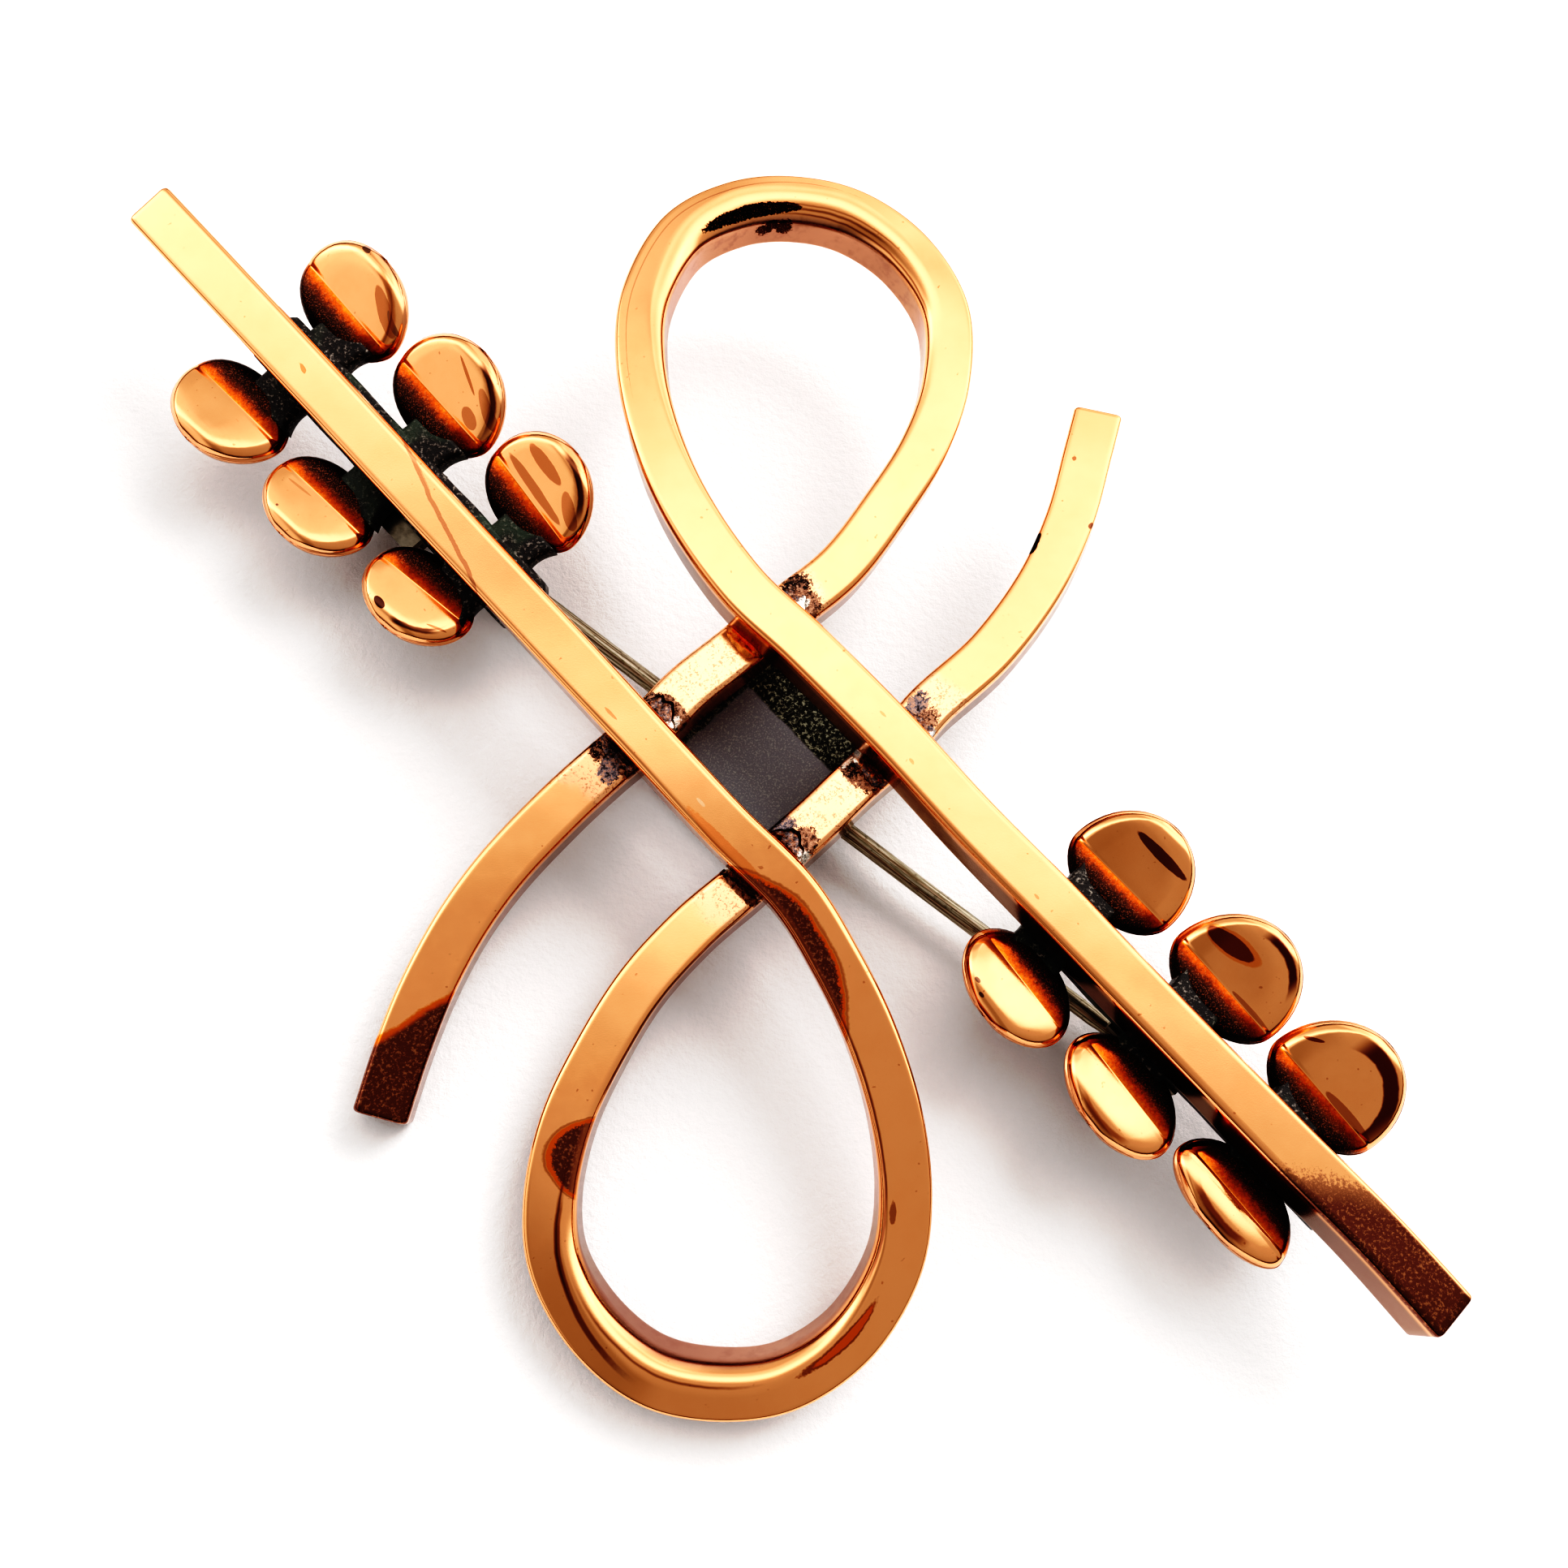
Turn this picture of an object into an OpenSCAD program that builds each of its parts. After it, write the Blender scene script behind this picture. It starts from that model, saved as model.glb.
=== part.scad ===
// Ribbon brooch: two square copper bars, each bent into a loop and crossed over itself and
// over the other, with a blackened centre plate, two sprays of folded leaves and a pin behind.
// It lies on its back on z = 0. X runs across the brooch, Y up it, Z out of its front.

/* [Ribbons] */
// Rounding of the bars' long edges, mm
edge_r = 0.3; // [0.1:0.05:0.5]
// Rings of each ribbon between two rows of its table
ring_steps = 3; // [2:1:4]

/* [Centre plate] */
// Side of the square plate, mm
plate_side = 7.6; // [6:0.1:8.4]
// Thickness of the plate, mm
plate_t = 0.7; // [0.4:0.05:0.8]

/* [Leaf sprays] */
// Half the length of a leaf's crease, mm
leaf_r = 3.2; // [2.9:0.05:3.3]
// Reach of a leaf's flat half in from its widest place, mm
leaf_in_r = 2.25; // [2.1:0.05:2.6]
// Distance from a leaf's crease out to its widest place, mm
crease_in = 0.25; // [0:0.05:0.5]
// Thickness of the leaves and of the strip that carries them, mm
leaf_t = 1.2; // [0.8:0.05:1.4]
// Width of the strip, mm
strip_w = 3.0; // [2:0.1:3.2]

/* [Pin] */
// Diameter of the pin stem, mm
pin_d = 0.9; // [0.7:0.05:1.1]
// Diameter of the rivet that the pin swings on, mm
rivet_d = 0.8; // [0.6:0.05:1]
// Angle of the pin away from the back, degrees
pin_swing = 0; // [0:5:75]

/* [Rest] */
// Lean of the brooch about its pin, with its lower left side down, degrees
lean_deg = 6.4; // [5.8:0.1:6.6]

/* [Hidden] */

copper = [0.85, 0.5, 0.3];
dark_copper = [0.2, 0.15, 0.13];
pin_metal = [0.45, 0.43, 0.36];
eps = 0.01;

// Point of view that the curves are laid out from: distance, bearing, tilt from square on
eye_dist = 70;
eye_bearing = 252;
eye_tilt = 14;
sight = [sin(eye_tilt) * cos(eye_bearing), sin(eye_tilt) * sin(eye_bearing), cos(eye_tilt)];
function unit(v) = v / norm(v);
view_up = unit([0, 1, 0] - sight[1] * sight);
view_right = cross(view_up, sight);
eye = eye_dist * sight;
// The point at height z that is seen at x, y in the view
function plan(x, y, z) = let (
    ray = x * view_right + y * view_up - eye
) eye + ray * ((z - eye[2]) / ray[2]);

// Centre line of each ribbon: where it is seen, its height over the back, the turn of the
// section to the left of the way it runs, and the side of the square section
// [x, y, height, turn, side]
rows_a = [
    [-30.95, 28.21, 3.85, -11, 2.50],
    [-26.85, 23.80, 3.85, -10, 2.50],
    [-22.53, 19.14, 3.85, -9, 2.48],
    [-18.50, 14.76, 3.85, -8, 2.46],
    [-14.57, 10.51, 3.85, -7, 2.42],
    [-10.64, 6.24, 3.85, -4, 2.38],
    [-6.82, 2.06, 3.85, -2, 2.36],
    [-2.97, -2.10, 3.85, -3, 2.36],
    [0.41, -5.44, 3.84, -5, 2.36],
    [2.54, -8.80, 3.72, -6, 2.36],
    [4.24, -12.37, 3.45, -5, 2.36],
    [5.43, -16.27, 3.10, -3, 2.36],
    [5.88, -20.15, 2.70, -1, 2.36],
    [5.38, -23.63, 2.35, 2, 2.36],
    [3.36, -27.01, 1.96, 6, 2.38],
    [0.30, -29.15, 1.74, 12, 2.40],
    [-3.01, -29.66, 1.64, 19, 2.40],
    [-6.45, -28.99, 1.57, 20, 2.40],
    [-9.24, -26.80, 1.49, 15, 2.40],
    [-11.08, -23.70, 1.42, 8, 2.38],
    [-11.42, -20.55, 1.34, 5, 2.36],
    [-10.74, -17.10, 1.27, 5, 2.36],
    [-9.39, -14.00, 1.23, 5, 2.36],
    [-7.21, -10.34, 1.21, 4, 2.36],
    [-4.60, -7.40, 1.20, 4, 2.36],
    [-1.91, -5.08, 1.20, 4, 2.36],
    [1.18, -2.35, 1.20, 4, 2.36],
    [3.53, -0.11, 1.20, 4, 2.36],
    [5.53, 1.66, 1.20, 4, 2.38],
    [7.17, 3.61, 1.20, 5, 2.40],
    [10.13, 6.27, 1.22, 6, 2.40],
    [12.52, 9.46, 1.24, 8, 2.42],
    [14.03, 12.70, 1.26, 9, 2.46],
    [14.90, 15.91, 1.28, 9, 2.50],
    [15.42, 17.92, 1.30, 9, 2.50]
];
rows_b = [
    [32.50, -26.38, 3.90, -8, 2.60],
    [29.00, -22.50, 3.90, -7, 2.56],
    [24.94, -18.36, 3.90, -5, 2.54],
    [20.90, -14.19, 3.90, -4, 2.52],
    [16.88, -10.02, 3.90, -3, 2.50],
    [12.87, -5.83, 3.90, -2, 2.50],
    [8.93, -1.79, 3.90, -1, 2.50],
    [5.01, 2.50, 3.90, 0, 2.50],
    [1.03, 6.50, 3.90, 0, 2.50],
    [-2.18, 9.53, 3.84, 0, 2.50],
    [-4.79, 13.34, 3.66, 2, 2.50],
    [-6.34, 17.08, 3.38, 4, 2.48],
    [-7.01, 20.66, 3.05, 6, 2.46],
    [-6.76, 23.76, 2.70, 4, 2.46],
    [-5.08, 26.72, 2.35, 3, 2.50],
    [-2.39, 28.14, 2.10, 5, 2.52],
    [0.51, 28.40, 1.90, 9, 2.52],
    [3.40, 27.72, 1.78, 8, 2.52],
    [6.06, 25.84, 1.65, 4, 2.50],
    [7.83, 22.96, 1.52, 1, 2.48],
    [7.87, 19.49, 1.42, 0, 2.46],
    [6.78, 16.34, 1.34, 2, 2.46],
    [4.96, 13.44, 1.29, 3, 2.46],
    [2.71, 10.49, 1.26, 3, 2.48],
    [-0.06, 8.22, 1.25, 1, 2.48],
    [-2.84, 5.99, 1.25, -1, 2.48],
    [-4.84, 4.39, 1.25, -1, 2.48],
    [-6.80, 2.37, 1.25, 0, 2.48],
    [-8.78, 0.72, 1.25, 1, 2.48],
    [-11.06, -1.37, 1.23, 1, 2.48],
    [-13.74, -4.18, 1.20, 1, 2.48],
    [-15.74, -6.86, 1.17, 2, 2.48],
    [-17.43, -9.94, 1.14, 2, 2.48],
    [-18.72, -13.06, 1.11, 3, 2.50],
    [-19.86, -16.52, 1.08, 3, 2.50]
];

// Middle and size of the feet of the joint and of the catch, in their strip's frame
joint_foot = [1.8, -0.7];
joint_foot_size = [5, 3.6];
catch_foot = [1.9, 0.1];
catch_foot_size = [4.4, 3.0];
// Where the brooch leans and where the pin runs, in the same view
pin_z = 1.45;
back_z = 2.9;
joint_seen = [-18.0, 13.8];
catch_seen = [17.4, -12.93];
pin_from = plan(joint_seen[0], joint_seen[1], pin_z - back_z);
pin_to = plan(catch_seen[0], catch_seen[1], pin_z - back_z);
pin_run = pin_to - pin_from;
pin_bearing = atan2(pin_run[1], pin_run[0]);
pin_length = norm(pin_run);
lean_axis = [cos(pin_bearing), sin(pin_bearing), 0];
// Middle of the outline, carried to x = 0 and y = 0
middle = [-1.57, 1.55];

// Puts the brooch down on the surface that it lies on
module laid() {
    translate([-middle[0], -middle[1], 0]) children();
}
module leaning() {
    laid() translate([pin_from[0], pin_from[1], back_z]) rotate(a = lean_deg, v = lean_axis)
        translate([-pin_from[0], -pin_from[1], 0]) children();
}

// Smooth curve through the rows of a table
function blend4(a, b, c, d, t) = 0.5 * (2 * b + (c - a) * t + (2 * a - 5 * b + 4 * c - d) * t * t
    + (3 * b - a - 3 * c + d) * t * t * t);
function row_at(rows, u) = let (
    last = len(rows) - 1,
    i = min(floor(u), last - 1),
    t = u - i,
    a = i > 0 ? rows[i - 1] : 2 * rows[0] - rows[1],
    d = i < last - 1 ? rows[i + 2] : 2 * rows[last] - rows[last - 1]
) blend4(a, rows[i], rows[i + 1], d, t);
function on_plan(rows) = [for (r = rows) concat(plan(r[0], r[1], r[2]), [r[3], r[4]])];
function place(r) = [r[0], r[1], r[2]];

// Square section with rounded corners, as steps to the left and up
function section(side, inset) = let (
    half = side / 2 - inset,
    r = min(edge_r, half / 2)
) [for (q = [0 : 3], k = [0 : 2]) let (
    corner = 90 * q + 45,
    a = 90 * q + 45 * k
) [(half - r) * sqrt(2) * cos(corner) + r * cos(a), (half - r) * sqrt(2) * sin(corner) + r * sin(a)]];

// One ring of the ribbon at place u along the table
function ring(rows, u, inset) = let (
    last = len(rows) - 1,
    here = row_at(rows, u),
    ahead = place(row_at(rows, min(u + 0.02, last))),
    behind = place(row_at(rows, max(u - 0.02, 0))),
    along = unit(ahead - behind),
    level_left = unit(cross([0, 0, 1], along)),
    level_up = cross(along, level_left),
    left = level_left * cos(here[3]) - level_up * sin(here[3]),
    up = level_up * cos(here[3]) + level_left * sin(here[3])
) [for (s = section(here[4], inset)) place(here) + s[0] * left + s[1] * up];

// Tube through rings of equal length, closed at both ends
module skin_over(rings) {
    n = len(rings[0]);
    count = len(rings);
    sides = [for (i = [0 : count - 2], j = [0 : n - 1]) let (k = (j + 1) % n)
        each [[i * n + j, (i + 1) * n + k, i * n + k], [i * n + j, (i + 1) * n + j, (i + 1) * n + k]]];
    head = [[for (j = [0 : n - 1]) j]];
    tail = [[for (j = [n - 1 : -1 : 0]) (count - 1) * n + j]];
    polyhedron(points = [for (r = rings) each r], faces = concat(sides, head, tail), convexity = 12);
}

// Bar with softened ends, swept along a table
end_round = 0.2;
module ribbon(table) {
    rows = on_plan(table);
    last = len(rows) - 1;
    steps = ring_steps * last;
    first_in = end_round / norm(place(rows[1]) - place(rows[0]));
    last_in = end_round / norm(place(rows[last]) - place(rows[last - 1]));
    mid = 0.3;
    stations = concat(
        [[0, end_round], [first_in * mid, end_round * mid], [first_in, 0]],
        [for (k = [1 : steps - 1]) [k / ring_steps, 0]],
        [[last - last_in, 0], [last - last_in * mid, end_round * mid], [last, end_round]]
    );
    skin_over([for (s = stations) ring(rows, s[0], s[1])]);
}

// Folded round leaf of even thickness with a full round rim. Its crease lies on X at the
// origin, its inner half is level on the -Y side and its outer half rises on the +Y side.
leaf_stations = [-80, -64, -46, -26, 0, 26, 46, 64, 80];
rim_angles = [90, 45, 0, -45, -90];
near_crease = 0.4;
// Closed section of the leaf at y from its crease
function leaf_ring(y, out_r, slope) = let (
    reach = y < crease_in ? leaf_in_r : out_r,
    off = y - crease_in,
    e = leaf_t / 2,
    half_w = leaf_r * sqrt(1 - (off / reach) * (off / reach)),
    past = max(abs(off) - (reach - e), 0),
    half_t = sqrt(e * e - past * past),
    r = min(half_t, half_w),
    tip = y < 0 ? 0 : y > 0 ? slope : slope / 2,
    mitre = y == 0 ? 1 / cos(tip) : 1,
    right_side = [for (a = rim_angles) [half_w - r + r * cos(a), half_t * sin(a)]],
    left_side = [for (a = rim_angles) [-(half_w - r + r * cos(a)), -half_t * sin(a)]],
    base = y > 0 ? [y * cos(slope), y * sin(slope)] : [y, 0]
) [for (q = concat(right_side, left_side)) [
    q[0],
    base[0] - q[1] * mitre * sin(tip),
    base[1] + q[1] * mitre * cos(tip) - leaf_t / 2
]];
module leaf(out_r, slope) {
    ys = [for (a = leaf_stations) crease_in + (a < 0 ? leaf_in_r : out_r) * sin(a)];
    inner = [for (y = ys) if (y < -near_crease) y];
    outer = [for (y = ys) if (y > near_crease) y];
    skin_over([for (y = concat(inner, [0], outer)) leaf_ring(y, out_r, slope)]);
}

// Leaves of each spray: side of the arm, place along it, distance of the crease from the
// spray's middle line, reach and slope of the raised half, turn in the spray's plane, size
// [side, along, out, reach, slope, turn, size]
leaves_a = [
    [1, -7.0, 3.7, 2.75, 25, -2, 1.05],
    [1, 0.1, 3.85, 3.05, 25, -1, 1.04],
    [1, 6.85, 3.85, 3.1, 25, -6, 0.99],
    [-1, -6.9, 3.8, 2.8, 22, -3, 1.00],
    [-1, -0.1, 3.8, 2.65, 22, -4, 0.95],
    [-1, 6.7, 3.2, 2.55, 20, -8, 0.94]
];
leaves_b = [
    [-1, -5.1, 3.4, 3.7, 29, 4, 1.01],
    [-1, 1.6, 3.65, 3.65, 29, 3, 1.00],
    [-1, 8.5, 3.65, 3.6, 29, 0, 0.98],
    [1, -5.25, 3.4, 1.4, 10, -3, 1.06],
    [1, 1.65, 3.6, 2.1, 10, -6, 1.01],
    [1, 8.45, 3.6, 2.3, 10, -6, 0.97]
];
// Step of each neck along the spray from its leaf's middle
neck_shift_a = 1.1;
neck_shift_b = 0.5;
// Middle of each spray, as a place along its ribbon's table
spray_a_at = 2.5;
spray_b_at = 3;
neck_w = 3.0;
neck_reach = 2.4;
// Ends of each strip
strip_ends_a = [-8.6, 11];
strip_ends_b = [-9.2, 10.6];
// Leaves and the strip that they stand out from; the arm lies on the strip, along X
module spray(leaves, neck_shift, ends) {
    union() {
        translate([ends[0], -strip_w / 2, -leaf_t]) cube([ends[1] - ends[0], strip_w, leaf_t]);
        for (row = leaves) {
            mirror([0, row[0] > 0 ? 0 : 1, 0]) {
                translate([row[1] + neck_shift - neck_w / 2, 0, -leaf_t]) cube([neck_w, neck_reach, leaf_t]);
                translate([row[1], row[2], 0]) rotate([0, 0, row[5]]) scale(row[6])
                    leaf(row[3], row[4]);
            }
        }
    }
}

// Steps of each spray to the left of its arm
shift_a = 0.15;
shift_b = -0.6;
// Puts things under a ribbon's arm: X along the arm at place u of the table, Z = 0 on the
// face that the strip turns to the arm
spray_gap = 0.08;
module under_arm(table, u, shift) {
    rows = on_plan(table);
    here = row_at(rows, u);
    fore = place(row_at(rows, u + 1));
    back = place(row_at(rows, u - 1));
    bearing = atan2(fore[1] - back[1], fore[0] - back[0]);
    translate(place(here)) rotate([0, 0, bearing]) rotate([-here[3], 0, 0])
        translate([0, shift, -here[4] / 2 - spray_gap]) children();
}
module under_arm_a() {
    leaning() under_arm(rows_a, spray_a_at, shift_a) children();
}
module under_arm_b() {
    leaning() under_arm(rows_b, spray_b_at, shift_b) children();
}

// Foot soldered under a strip, and what grows down from it
foot_t = 0.5;
foot_gap = 0.05;
foot_top = -leaf_t - foot_gap;
below = 60;
module foot(at, size) {
    translate([at[0] - size[0] / 2, at[1] - size[1] / 2, foot_top - foot_t]) cube([size[0], size[1], foot_t]);
}
module below_foot() {
    translate([-below / 2, -below / 2, foot_top - foot_t / 2 - below]) cube(below);
}

// Pin frame: X along the pin from the rivet, Y along the rivet, level
module at_rivet() {
    laid() translate([pin_from[0], pin_from[1], pin_z]) rotate([0, 0, pin_bearing]) children();
}

eye_r = 0.95;
eye_w = 0.95;
pin_fit = 0.05;
ear_gap = 0.12;
ear_t = 0.6;
ear_half = 1.25;
rivet_head_t = 0.2;
rivet_head_r = 0.75 * rivet_d;
ear_rise = 10;
module crosswise(r, w) {
    rotate([90, 0, 0]) cylinder(h = w, r = r, center = true, $fn = 48);
}
module pin_joint() {
    inside = eye_w / 2 + ear_gap;
    color(pin_metal) union() {
        under_arm_a() foot(joint_foot, joint_foot_size);
        intersection() {
            at_rivet() for (s = [0, 1]) mirror([0, s, 0])
                translate([-ear_half, inside, -pin_z]) cube([2 * ear_half, ear_t, ear_rise]);
            under_arm_a() below_foot();
        }
        at_rivet() crosswise(rivet_d / 2, 2 * (inside + ear_t));
        at_rivet() for (s = [0, 1]) mirror([0, s, 0])
            translate([0, inside + ear_t + rivet_head_t / 2 - eps, 0]) crosswise(rivet_head_r, rivet_head_t);
    }
}

point_l = 4;
tip_r = 0.12;
past_catch = 1.5;
module pin_stem() {
    straight = pin_length + past_catch - point_l;
    color(pin_metal) at_rivet() rotate([0, pin_swing, 0]) difference() {
        union() {
            crosswise(eye_r, eye_w);
            translate([rivet_d, 0, 0]) rotate([0, 90, 0])
                cylinder(h = straight - rivet_d, d = pin_d, $fn = 32);
            translate([straight, 0, 0]) rotate([0, 90, 0])
                cylinder(h = point_l, r1 = pin_d / 2, r2 = tip_r, $fn = 32);
        }
        crosswise(rivet_d / 2 + pin_fit, eye_w + 1);
    }
}

catch_l = 2.4;
catch_half_w = 1.35;
catch_bore = 0.75;
catch_mouth = 1.1;
catch_top = 1.4;
post_w = 1.2;
post_h = 10;
module pin_catch() {
    color(pin_metal) union() {
        under_arm_b() foot(catch_foot, catch_foot_size);
        intersection() {
            at_rivet() translate([pin_length - catch_l / 2, 0, 0]) difference() {
                union() {
                    translate([0, -catch_half_w, -pin_z])
                        cube([catch_l, 2 * catch_half_w, pin_z + catch_top]);
                    translate([0, -post_w / 2, catch_top - eps]) cube([catch_l, post_w, post_h]);
                }
                translate([-1, 0, 0]) rotate([0, 90, 0]) cylinder(h = catch_l + 2, r = catch_bore, $fn = 48);
                translate([-1, -catch_mouth / 2, -pin_z - 1]) cube([catch_l + 2, catch_mouth, pin_z + 1]);
            }
            under_arm_b() below_foot();
        }
    }
}

module ribbon_a() {
    color(copper) leaning() ribbon(rows_a);
}
module ribbon_b() {
    color(copper) leaning() ribbon(rows_b);
}
module leaf_spray_a() {
    color(dark_copper) under_arm_a() spray(leaves_a, neck_shift_a, strip_ends_a);
}
module leaf_spray_b() {
    color(dark_copper) under_arm_b() spray(leaves_b, neck_shift_b, strip_ends_b);
}

// Square plate behind the crossings
plate_gap = 0.12;
plate_seen = [-0.72, 2.12];
plate_bearing = 44;
module centre_plate() {
    at = plan(plate_seen[0], plate_seen[1], 0);
    color(dark_copper) leaning() translate([at[0], at[1], -plate_gap - plate_t]) rotate([0, 0, plate_bearing])
        translate([-plate_side / 2, -plate_side / 2, 0]) cube([plate_side, plate_side, plate_t]);
}

ribbon_a();
ribbon_b();
centre_plate();
leaf_spray_a();
leaf_spray_b();
pin_joint();
pin_catch();
pin_stem();
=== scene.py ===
"""Looks of the ribbon brooch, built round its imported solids."""

import math
from functools import reduce

import bmesh
import bpy
import numpy as np
from mathutils import Matrix, Vector, noise


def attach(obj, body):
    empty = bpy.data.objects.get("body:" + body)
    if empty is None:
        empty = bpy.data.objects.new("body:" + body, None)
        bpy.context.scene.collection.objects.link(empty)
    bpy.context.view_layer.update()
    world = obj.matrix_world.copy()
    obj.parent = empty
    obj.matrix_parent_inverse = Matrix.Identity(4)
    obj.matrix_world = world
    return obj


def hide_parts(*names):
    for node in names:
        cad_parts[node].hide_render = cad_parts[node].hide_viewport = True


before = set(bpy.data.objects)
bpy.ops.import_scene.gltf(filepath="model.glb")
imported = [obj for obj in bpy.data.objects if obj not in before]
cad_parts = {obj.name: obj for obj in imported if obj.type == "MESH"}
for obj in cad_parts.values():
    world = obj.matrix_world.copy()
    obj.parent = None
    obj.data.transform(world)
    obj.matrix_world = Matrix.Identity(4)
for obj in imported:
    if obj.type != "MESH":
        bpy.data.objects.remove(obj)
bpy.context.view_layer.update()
MM = 0.001
scene = bpy.context.scene

# Layout, as in the part's source, in millimetres and degrees.
# The eye of the photograph and its focal length, then the seats of the pieces.
eye_dist = 70.0
eye_bearing = 252.0
eye_tilt = 14.0
focal_px = 1744.0
image_px = 1932.0
px_per_unit = 25.0
pin_z = 1.45
back_z = 2.9
lean_deg = 6.4
joint_seen = (-18.0, 13.8)
catch_seen = (17.4, -12.93)
middle = (-1.57, 1.55)
leaf_t = 1.2
strip_w = 3.0
leaf_r = 3.2
leaf_in_r = 2.25
crease_in = 0.25
spray_gap = 0.08
plate_side = 7.6
plate_t = 0.7
plate_gap = 0.12
plate_seen = (-0.72, 2.12)
plate_bearing = 44.0
pin_d = 0.9
point_l = 4.0
past_catch = 1.5
edge_r = 0.3

# [x seen, y seen, height, turn, side], seen in units of 25 pixels
rows_a = [
    [-30.95, 28.21, 3.85, -11, 2.50],
    [-26.85, 23.80, 3.85, -10, 2.50],
    [-22.53, 19.14, 3.85, -9, 2.48],
    [-18.50, 14.76, 3.85, -8, 2.46],
    [-14.57, 10.51, 3.85, -7, 2.42],
    [-10.64, 6.24, 3.85, -4, 2.38],
    [-6.82, 2.06, 3.85, -2, 2.36],
    [-2.97, -2.10, 3.85, -3, 2.36],
    [0.41, -5.44, 3.84, -5, 2.36],
    [2.54, -8.80, 3.72, -6, 2.36],
    [4.24, -12.37, 3.45, -5, 2.36],
    [5.43, -16.27, 3.10, -3, 2.36],
    [5.88, -20.15, 2.70, -1, 2.36],
    [5.38, -23.63, 2.35, 2, 2.36],
    [3.36, -27.01, 1.96, 6, 2.38],
    [0.30, -29.15, 1.74, 12, 2.40],
    [-3.01, -29.66, 1.64, 19, 2.40],
    [-6.45, -28.99, 1.57, 20, 2.40],
    [-9.24, -26.80, 1.49, 15, 2.40],
    [-11.08, -23.70, 1.42, 8, 2.38],
    [-11.42, -20.55, 1.34, 5, 2.36],
    [-10.74, -17.10, 1.27, 5, 2.36],
    [-9.39, -14.00, 1.23, 5, 2.36],
    [-7.21, -10.34, 1.21, 4, 2.36],
    [-4.60, -7.40, 1.20, 4, 2.36],
    [-1.91, -5.08, 1.20, 4, 2.36],
    [1.18, -2.35, 1.20, 4, 2.36],
    [3.53, -0.11, 1.20, 4, 2.36],
    [5.53, 1.66, 1.20, 4, 2.38],
    [7.17, 3.61, 1.20, 5, 2.40],
    [10.13, 6.27, 1.22, 6, 2.40],
    [12.52, 9.46, 1.24, 8, 2.42],
    [14.03, 12.70, 1.26, 9, 2.46],
    [14.90, 15.91, 1.28, 9, 2.50],
    [15.42, 17.92, 1.30, 9, 2.50],
]
rows_b = [
    [32.50, -26.38, 3.90, -8, 2.60],
    [29.00, -22.50, 3.90, -7, 2.56],
    [24.94, -18.36, 3.90, -5, 2.54],
    [20.90, -14.19, 3.90, -4, 2.52],
    [16.88, -10.02, 3.90, -3, 2.50],
    [12.87, -5.83, 3.90, -2, 2.50],
    [8.93, -1.79, 3.90, -1, 2.50],
    [5.01, 2.50, 3.90, 0, 2.50],
    [1.03, 6.50, 3.90, 0, 2.50],
    [-2.18, 9.53, 3.84, 0, 2.50],
    [-4.79, 13.34, 3.66, 2, 2.50],
    [-6.34, 17.08, 3.38, 4, 2.48],
    [-7.01, 20.66, 3.05, 6, 2.46],
    [-6.76, 23.76, 2.70, 4, 2.46],
    [-5.08, 26.72, 2.35, 3, 2.50],
    [-2.39, 28.14, 2.10, 5, 2.52],
    [0.51, 28.40, 1.90, 9, 2.52],
    [3.40, 27.72, 1.78, 8, 2.52],
    [6.06, 25.84, 1.65, 4, 2.50],
    [7.83, 22.96, 1.52, 1, 2.48],
    [7.87, 19.49, 1.42, 0, 2.46],
    [6.78, 16.34, 1.34, 2, 2.46],
    [4.96, 13.44, 1.29, 3, 2.46],
    [2.71, 10.49, 1.26, 3, 2.48],
    [-0.06, 8.22, 1.25, 1, 2.48],
    [-2.84, 5.99, 1.25, -1, 2.48],
    [-4.84, 4.39, 1.25, -1, 2.48],
    [-6.80, 2.37, 1.25, 0, 2.48],
    [-8.78, 0.72, 1.25, 1, 2.48],
    [-11.06, -1.37, 1.23, 1, 2.48],
    [-13.74, -4.18, 1.20, 1, 2.48],
    [-15.74, -6.86, 1.17, 2, 2.48],
    [-17.43, -9.94, 1.14, 2, 2.48],
    [-18.72, -13.06, 1.11, 3, 2.50],
    [-19.86, -16.52, 1.08, 3, 2.50],
]
# [side of the strip, along it, out from it, reach of the raised half, its slope, turn, size]
leaves_a = [
    [1, -7.0, 3.7, 2.75, 25, -2, 1.05],
    [1, 0.1, 3.85, 3.05, 25, -1, 1.04],
    [1, 6.85, 3.85, 3.1, 25, -6, 0.99],
    [-1, -6.9, 3.8, 2.8, 22, -3, 1.00],
    [-1, -0.1, 3.8, 2.65, 22, -4, 0.95],
    [-1, 6.7, 3.2, 2.55, 20, -8, 0.94],
]
leaves_b = [
    [-1, -5.1, 3.4, 3.7, 29, 4, 1.01],
    [-1, 1.6, 3.65, 3.65, 29, 3, 1.00],
    [-1, 8.5, 3.65, 3.6, 29, 0, 0.98],
    [1, -5.25, 3.4, 1.4, 10, -3, 1.06],
    [1, 1.65, 3.6, 2.1, 10, -6, 1.01],
    [1, 8.45, 3.6, 2.3, 10, -6, 0.97],
]
neck_w = 3.0
# at: place along the table; shift: across the arm; neck: from the leaf, along the strip
spray_specs = {
    "a": dict(rows=rows_a, leaves=leaves_a, at=2.5, shift=0.15, neck=1.1, ends=(-8.6, 11.0)),
    "b": dict(rows=rows_b, leaves=leaves_b, at=3.0, shift=-0.6, neck=0.5, ends=(-9.2, 10.6)),
}


def unit(v):
    """The same direction, of length 1."""
    v = np.asarray(v, float)
    return v / np.linalg.norm(v)


def sind(a):
    return math.sin(math.radians(a))


def cosd(a):
    return math.cos(math.radians(a))


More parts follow.
